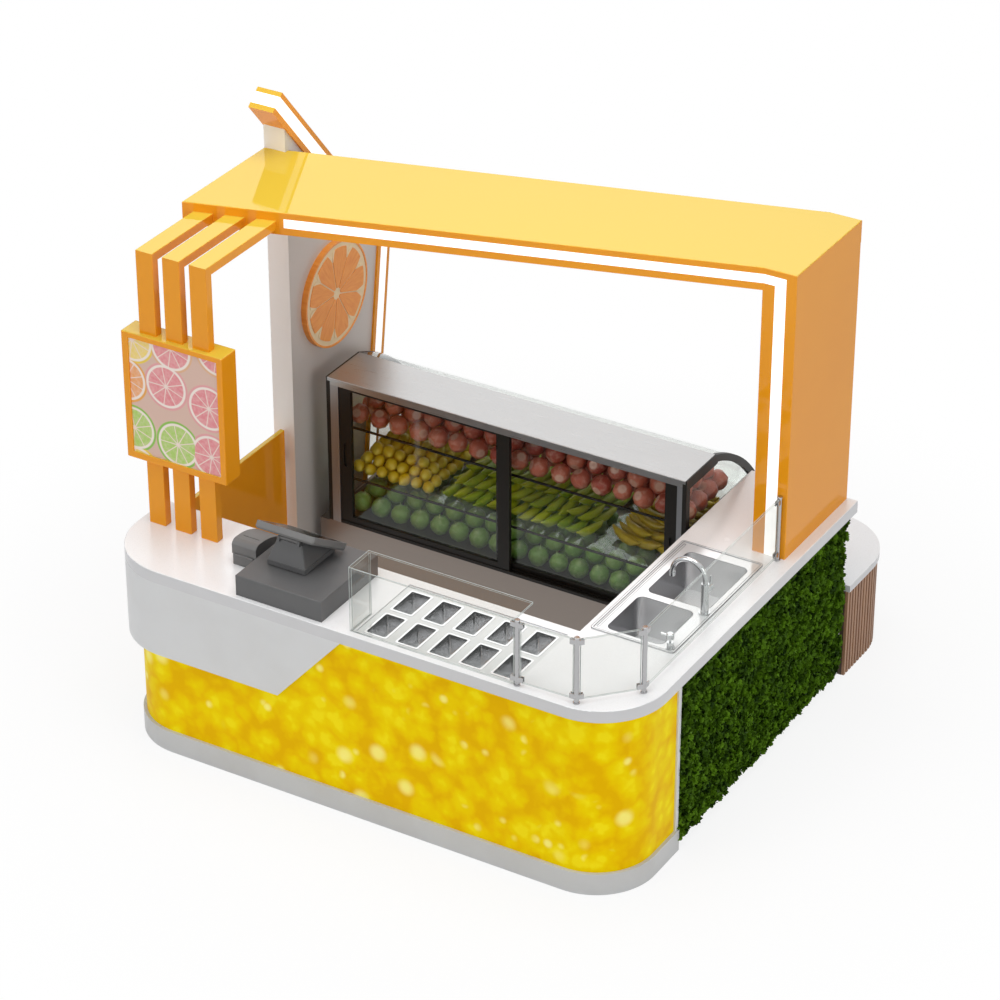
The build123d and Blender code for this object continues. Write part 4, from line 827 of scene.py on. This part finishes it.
# %% Fruit on the shelves
UPPER_SHELF, LOWER_SHELF, DECK = 0.905, 0.640, 0.412
LYING, LOOSE, FIRST_SEED = math.radians(90), 0.003, 11
stock = (
    ("apples", apple_shape, "apple_skin", {
        "Columns": 17, "Rows": 4, "Layers": 3, "First": (-1.045, 0.345, UPPER_SHELF + 0.052),
        "Column Step": (0.112, 0, 0), "Row Step": (0, 0.106, 0), "Layer Step": (0, 0, 0.066),
        "Turn": (1.2, 0.0, 0.0), "Tumble": (1.0, 0.6, 1.0), "Uneven": 0.05}),
    ("lemons", lemon_shape, "lemon_peel", {
        "Columns": 7, "Rows": 9, "Layers": 3, "First": (-1.05, 0.33, LOWER_SHELF + 0.03),
        "Column Step": (0.067, 0, 0), "Row Step": (0, 0.068, 0), "Layer Step": (0, 0, 0.042),
        "Turn": (LYING, 0.0, 0.3), "Tumble": (0.3, 0.3, 0.5), "Uneven": 0.08}),
    ("bananas", banana_shape, "banana_peel", {
        "Columns": 13, "Rows": 4, "Layers": 3, "First": (-0.54, 0.38, LOWER_SHELF + 0.024),
        "Column Step": (0.063, 0, 0), "Row Step": (0, 0.15, 0), "Layer Step": (0, 0, 0.040),
        "Turn": (0.0, 0.0, -0.2), "Tumble": (0.14, 0.14, 0.2), "Uneven": 0.1}),
    ("ripe_bananas", banana_shape, "ripe_banana_peel", {
        "Columns": 4, "Rows": 9, "Layers": 3, "First": (0.40, 0.41, LOWER_SHELF + 0.024),
        "Column Step": (0.105, 0, 0), "Row Step": (0, 0.058, 0), "Layer Step": (0, 0, 0.040),
        "Turn": (0.0, 0.0, 1.35), "Tumble": (0.14, 0.14, 0.15), "Uneven": 0.1}),
    ("melons", melon_shape, "melon_rind", {
        "Columns": 17, "Rows": 5, "Layers": 2, "First": (-1.04, 0.345, DECK + 0.049),
        "Column Step": (0.111, 0, 0), "Row Step": (0, 0.11, 0), "Layer Step": (0, 0, 0.071),
        "Turn": (0.0, 0.0, 0.0), "Tumble": (0.35, 0.35, 3.0), "Uneven": 0.05}),
)
for seed, (name, shape, skin, layout) in enumerate(stock, FIRST_SEED):
    piece = grow(name, pile, shape, {**layout, "Loose": LOOSE, "Seed": seed, "Finish": skins[skin]})
    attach(piece, "kiosk")

# %% [markdown]
# The end of the counter wears a mat of preserved plants: thousands of small leaves in sprigs, pinned on
# a board. Real ones are pressed in by hand, close enough that the board never shows. The recipe starts from
# a board with a wavy face, scatters points on it, and sets one sprig on each, leaning outwards with a random
# turn. Clumps of lighter and darker green come from a slow noise, stored with each sprig as its tone.


# %% One sprig of leaves
GOLDEN_ANGLE, LEAST_LEAN = 2.4, 0.35
STALK, DROOP, CUP, DENT = 0.2, 0.15, 0.12, 0.97


def sprig(name, leaves, reach, width):
    """Leaves of four faces each, folded along the middle and fanned out about the Z axis."""
    body = bmesh.new()
    for k in range(leaves):
        a = GOLDEN_ANGLE * k
        lean = LEAST_LEAN + (k % 3) / 2
        out = Vector((math.cos(a) * math.sin(lean), math.sin(a) * math.sin(lean), math.cos(lean)))
        side = Vector((-math.sin(a), math.cos(a), 0))
        start = out * reach * STALK
        tip = out * reach - Vector((0, 0, DROOP * reach * math.sin(lean)))
        fold = (start + tip) / 2 + Vector((0, 0, CUP * reach))
        verts = [body.verts.new(p) for p in (start, fold + side * width, tip, fold - side * width,
                                             fold * DENT)]
        for corner in range(4):
            body.faces.new((verts[corner], verts[(corner + 1) % 4], verts[4]))
    return as_mesh(body, name)


sprig_shape = sprig("sprig_shape", 7, 0.034, 0.0115)
print("sprig", len(sprig_shape.polygons), "faces")

# %% Recipe for the plant mat
OUTER_FACE, NOT_BACK, TONE_SPREAD = 0.2, -0.5, 0.28
TILT, SPIN, SMALLEST, LARGEST = 0.6, 3.1, 0.7, 1.2
mat, given = new_recipe("plant_mat", {"Middle": "Vector", "Board": "Vector", "Per Square Metre": "Float",
                                      "Seed": "Int", "Finish": "Material"})
board = add(mat, "GeometryNodeMeshCube", {"Size": given["Board"], "Vertices X": 2, "Vertices Y": 70,
                                          "Vertices Z": 38})
board = add(mat, "GeometryNodeTransform", {"Geometry": board.outputs["Mesh"], "Translation": given["Middle"]})
here = add(mat, "GeometryNodeInputPosition")
outward = add(mat, "ShaderNodeSeparateXYZ", {0: add(mat, "GeometryNodeInputNormal")}).outputs["X"]
outer = add(mat, "ShaderNodeMath", {0: outward, 1: OUTER_FACE}, operation="GREATER_THAN")
lift = patches(mat, here, grain_mm=110.0, detail=3.0, begin=0.3, end=0.7, low=-0.008, high=0.010)
lift = add(mat, "ShaderNodeCombineXYZ", {"X": lift})
wavy = add(mat, "GeometryNodeSetPosition", {"Geometry": board, "Selection": outer, "Offset": lift})
not_back = add(mat, "ShaderNodeMath", {0: outward, 1: NOT_BACK}, operation="GREATER_THAN")
pins = add(mat, "GeometryNodeDistributePointsOnFaces", {"Mesh": wavy, "Selection": not_back,
                                                        "Density": given["Per Square Metre"],
                                                        "Seed": given["Seed"]})
clump = patches(mat, here, grain_mm=75.0, detail=2.0, begin=0.35, end=0.68)
speck = add(mat, "FunctionNodeRandomValue", {2: -TONE_SPREAD, 3: TONE_SPREAD, 8: given["Seed"]},
            data_type="FLOAT")
tone = add(mat, "ShaderNodeMath", {0: clump, 1: speck.outputs[1]}, operation="ADD")
marked = add(mat, "GeometryNodeStoreNamedAttribute", {"Geometry": pins.outputs["Points"], "Name": "tone",
                                                      "Value": tone}, data_type="FLOAT", domain="POINT")
swing = add(mat, "FunctionNodeRandomValue", {0: (-TILT, -TILT, -SPIN), 1: (TILT, TILT, SPIN),
                                             8: given["Seed"]}, data_type="FLOAT_VECTOR")
turn = add(mat, "FunctionNodeRotateRotation", {0: pins.outputs["Rotation"], 1: swing}, rotation_space="LOCAL")
size = add(mat, "FunctionNodeRandomValue", {2: SMALLEST, 3: LARGEST, 8: given["Seed"]}, data_type="FLOAT")
leaves = add(mat, "GeometryNodeInstanceOnPoints", {"Points": marked, "Instance": given["Geometry"],
                                                   "Rotation": turn, "Scale": size.outputs[1]})
leaves = add(mat, "GeometryNodeRealizeInstances", {"Geometry": leaves})
whole = add(mat, "GeometryNodeJoinGeometry", {0: leaves})
mat.links.new(wavy.outputs[0], whole.inputs[0])
painted = add(mat, "GeometryNodeSetMaterial", {"Geometry": whole, "Material": given["Finish"]})
add(mat, "NodeGroupOutput", {0: painted})
print("recipe", mat.name, "with", len(mat.nodes), "nodes")

# %% [markdown]
# The leaves are soaked in glycerine and dye, which keeps them soft and leaves a dull, deep green. The tone
# mixes a dark and a light green, and patches of 6 mm break it up as veins and folds do.

# %% Plant mat in place of the plain panel
leaf, tree, shader, place = finish_of("preserved_leaf", "#2F5A12", roughness=0.65, Specular_IOR_Level=0.12)
tone = add(tree, "ShaderNodeAttribute", attribute_name="tone")
tint = add(tree, "ShaderNodeMix", {0: tone.outputs["Fac"], 6: linear("#142E01"), 7: linear("#5E8612")},
           data_type="RGBA")
veins = patches(tree, place, grain_mm=6.0, detail=3.0, begin=0.35, end=0.75, high=0.4)
tint = add(tree, "ShaderNodeMix", {0: veins, 6: tint.outputs[2], 7: linear("#34520E")}, data_type="RGBA")
paint(tree, shader, tint)
low, high = (Vector(corner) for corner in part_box("moss_panel"))
BOARD_THICK, BOARD_MARGIN, BOARD_PLACE = 0.030, 0.02, 0.0155
board = Vector((BOARD_THICK, high.y - low.y - BOARD_MARGIN, high.z - low.z - BOARD_MARGIN))
middle = Vector((low.x + BOARD_PLACE, (low.y + high.y) / 2, (low.z + high.z) / 2))
plants = grow("plant_mat", mat, sprig_shape, {"Middle": middle, "Board": board, "Per Square Metre": 3000.0,
                                              "Seed": 5, "Finish": leaf})
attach(plants, "kiosk")
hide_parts("moss_panel")

# %% [markdown]
# A clear pane shows most at its edges: they are ground and polished, and catch the light as a thin bright line.
# The recipe takes a copy of the guard's panes, welds its loose triangles, keeps the edges where two faces meet
# at a sharp corner, and sweeps a tiny round bead along them, under 3 mm thick. That bead is opaque pale grey: a
# painted highlight of the bright edge line. The sink's pressed edges are rolled over in the same way, so its
# rim and the rims of its bowls get a bead of steel.

# %% Painted highlights on the guard glass edges, and rolled edges of the sink
edging, given = new_recipe("edging", {"Sharper Than": "Float", "Above": "Float", "Bead": "Float",
                                      "Finish": "Material"})
welded = add(edging, "GeometryNodeMergeByDistance", {"Geometry": given["Geometry"], "Distance": 0.0001})
corner = add(edging, "GeometryNodeInputMeshEdgeAngle").outputs["Unsigned Angle"]
sharp = add(edging, "ShaderNodeMath", {0: corner, 1: given["Sharper Than"]}, operation="GREATER_THAN")
height = add(edging, "ShaderNodeSeparateXYZ", {0: add(edging, "GeometryNodeInputPosition")}).outputs["Z"]
high = add(edging, "ShaderNodeMath", {0: height, 1: given["Above"]}, operation="GREATER_THAN")
wanted = add(edging, "FunctionNodeBooleanMath", {0: sharp, 1: high}, operation="AND")
lines = add(edging, "GeometryNodeMeshToCurve", {"Mesh": welded, "Selection": wanted})
bead = add(edging, "GeometryNodeCurvePrimitiveCircle", {"Resolution": 5, "Radius": given["Bead"]})
swept = add(edging, "GeometryNodeCurveToMesh", {"Curve": lines, "Profile Curve": bead})
end_recipe(edging, swept, given["Finish"])

SHARP, BELOW_RIM = math.radians(60), 0.006
# Painted highlight: the opaque pale grey bead stands for the light caught by the glass edges.
edge_highlight, tree, shader, place = finish_of("painted_edge_highlight", "#C6CCCA", roughness=0.15)
paint(tree, shader, mottled(tree, place, "#D6DBD9", "#AEB6B3", grain_mm=35.0, detail=3.0))
edges = grow("guard_glass_edges", edging, nodes["guard_glass"].data.copy(),
             {"Sharper Than": SHARP, "Above": 0.0, "Bead": 0.0013, "Finish": edge_highlight})
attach(edges, "kiosk")
rolled = grow("sink_rolled_edges", edging, nodes["sink_basin"].data.copy(),
              {"Sharper Than": SHARP, "Above": RIM_HEIGHT - BELOW_RIM, "Bead": 0.0011,
               "Finish": bpy.data.materials["rolled_edge_steel"]})
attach(rolled, "kiosk")

# %% [markdown]
# Gate hinges are held by zinc plated screws with heads of 8 mm. A head is a low dome with a cross cut in it.
# The pile recipe, with one layer and nothing random, sets them in line on each plate. The plates on the tower
# stand still, and those on the gate swing with it, so they are two pieces.


# %% Screws
SCREW_SIDES, RIM_UP, FACE_UP, CROSS_DEEP = 16, 0.0011, 0.0012, 0.0009
RIM_SHARE, ARM_SHARE, NOTCH_SHARE = 0.8, 0.55, 0.16


def screw_head(name, radius):
    """A low dome with a cross recess that looks up the Z axis."""
    body = bmesh.new()
    rim, foot, cross = [], [], []
    for k in range(SCREW_SIDES):
        a = 2 * math.pi * k / SCREW_SIDES
        arm = ARM_SHARE if k % 4 == 0 else NOTCH_SHARE
        for ring, share, up in ((foot, 1.0, 0.0), (rim, RIM_SHARE, RIM_UP), (cross, arm, FACE_UP)):
            ring.append(body.verts.new((share * radius * math.cos(a), share * radius * math.sin(a), up)))
    dip = [body.verts.new(v.co - Vector((0, 0, CROSS_DEEP))) for v in cross]
    for k in range(SCREW_SIDES):
        n = (k + 1) % SCREW_SIDES
        body.faces.new((foot[k], foot[n], rim[n], rim[k]))
        body.faces.new((rim[k], rim[n], cross[n], cross[k]))
        body.faces.new((cross[k], cross[n], dip[n], dip[k]))
    body.faces.new(dip)
    body.faces.new(list(reversed(foot)))
    return as_mesh(body, name)


HEAD_RADIUS, PLATE_STEP = 0.004, 0.49
zinc, tree, shader, place = finish_of("zinc_plated_screw", "#B9BABB", metallic=1.0, roughness=0.35)
paint(tree, shader, mottled(tree, place, "#C2C4C6", "#A9A8A0", grain_mm=4.0, detail=2.0))
for name, body, columns, first, step, turn in (
    ("tower_hinge_screws", "kiosk", 2, (-1.352, 0.0725, 0.262), (0.018, 0, 0), (math.radians(90), 0, 0)),
    ("gate_hinge_screws", "gate", 3, (-1.319, -0.012, 0.290), (0, 0.022, 0), (0, math.radians(-90), 0)),
):
    screws = grow(name, pile, screw_head(name + "_shape", HEAD_RADIUS), {
        "Columns": columns, "Rows": 2, "Layers": 1, "First": first, "Column Step": step,
        "Row Step": (0, 0, PLATE_STEP), "Turn": turn, "Seed": 3, "Finish": zinc})
    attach(screws, body)
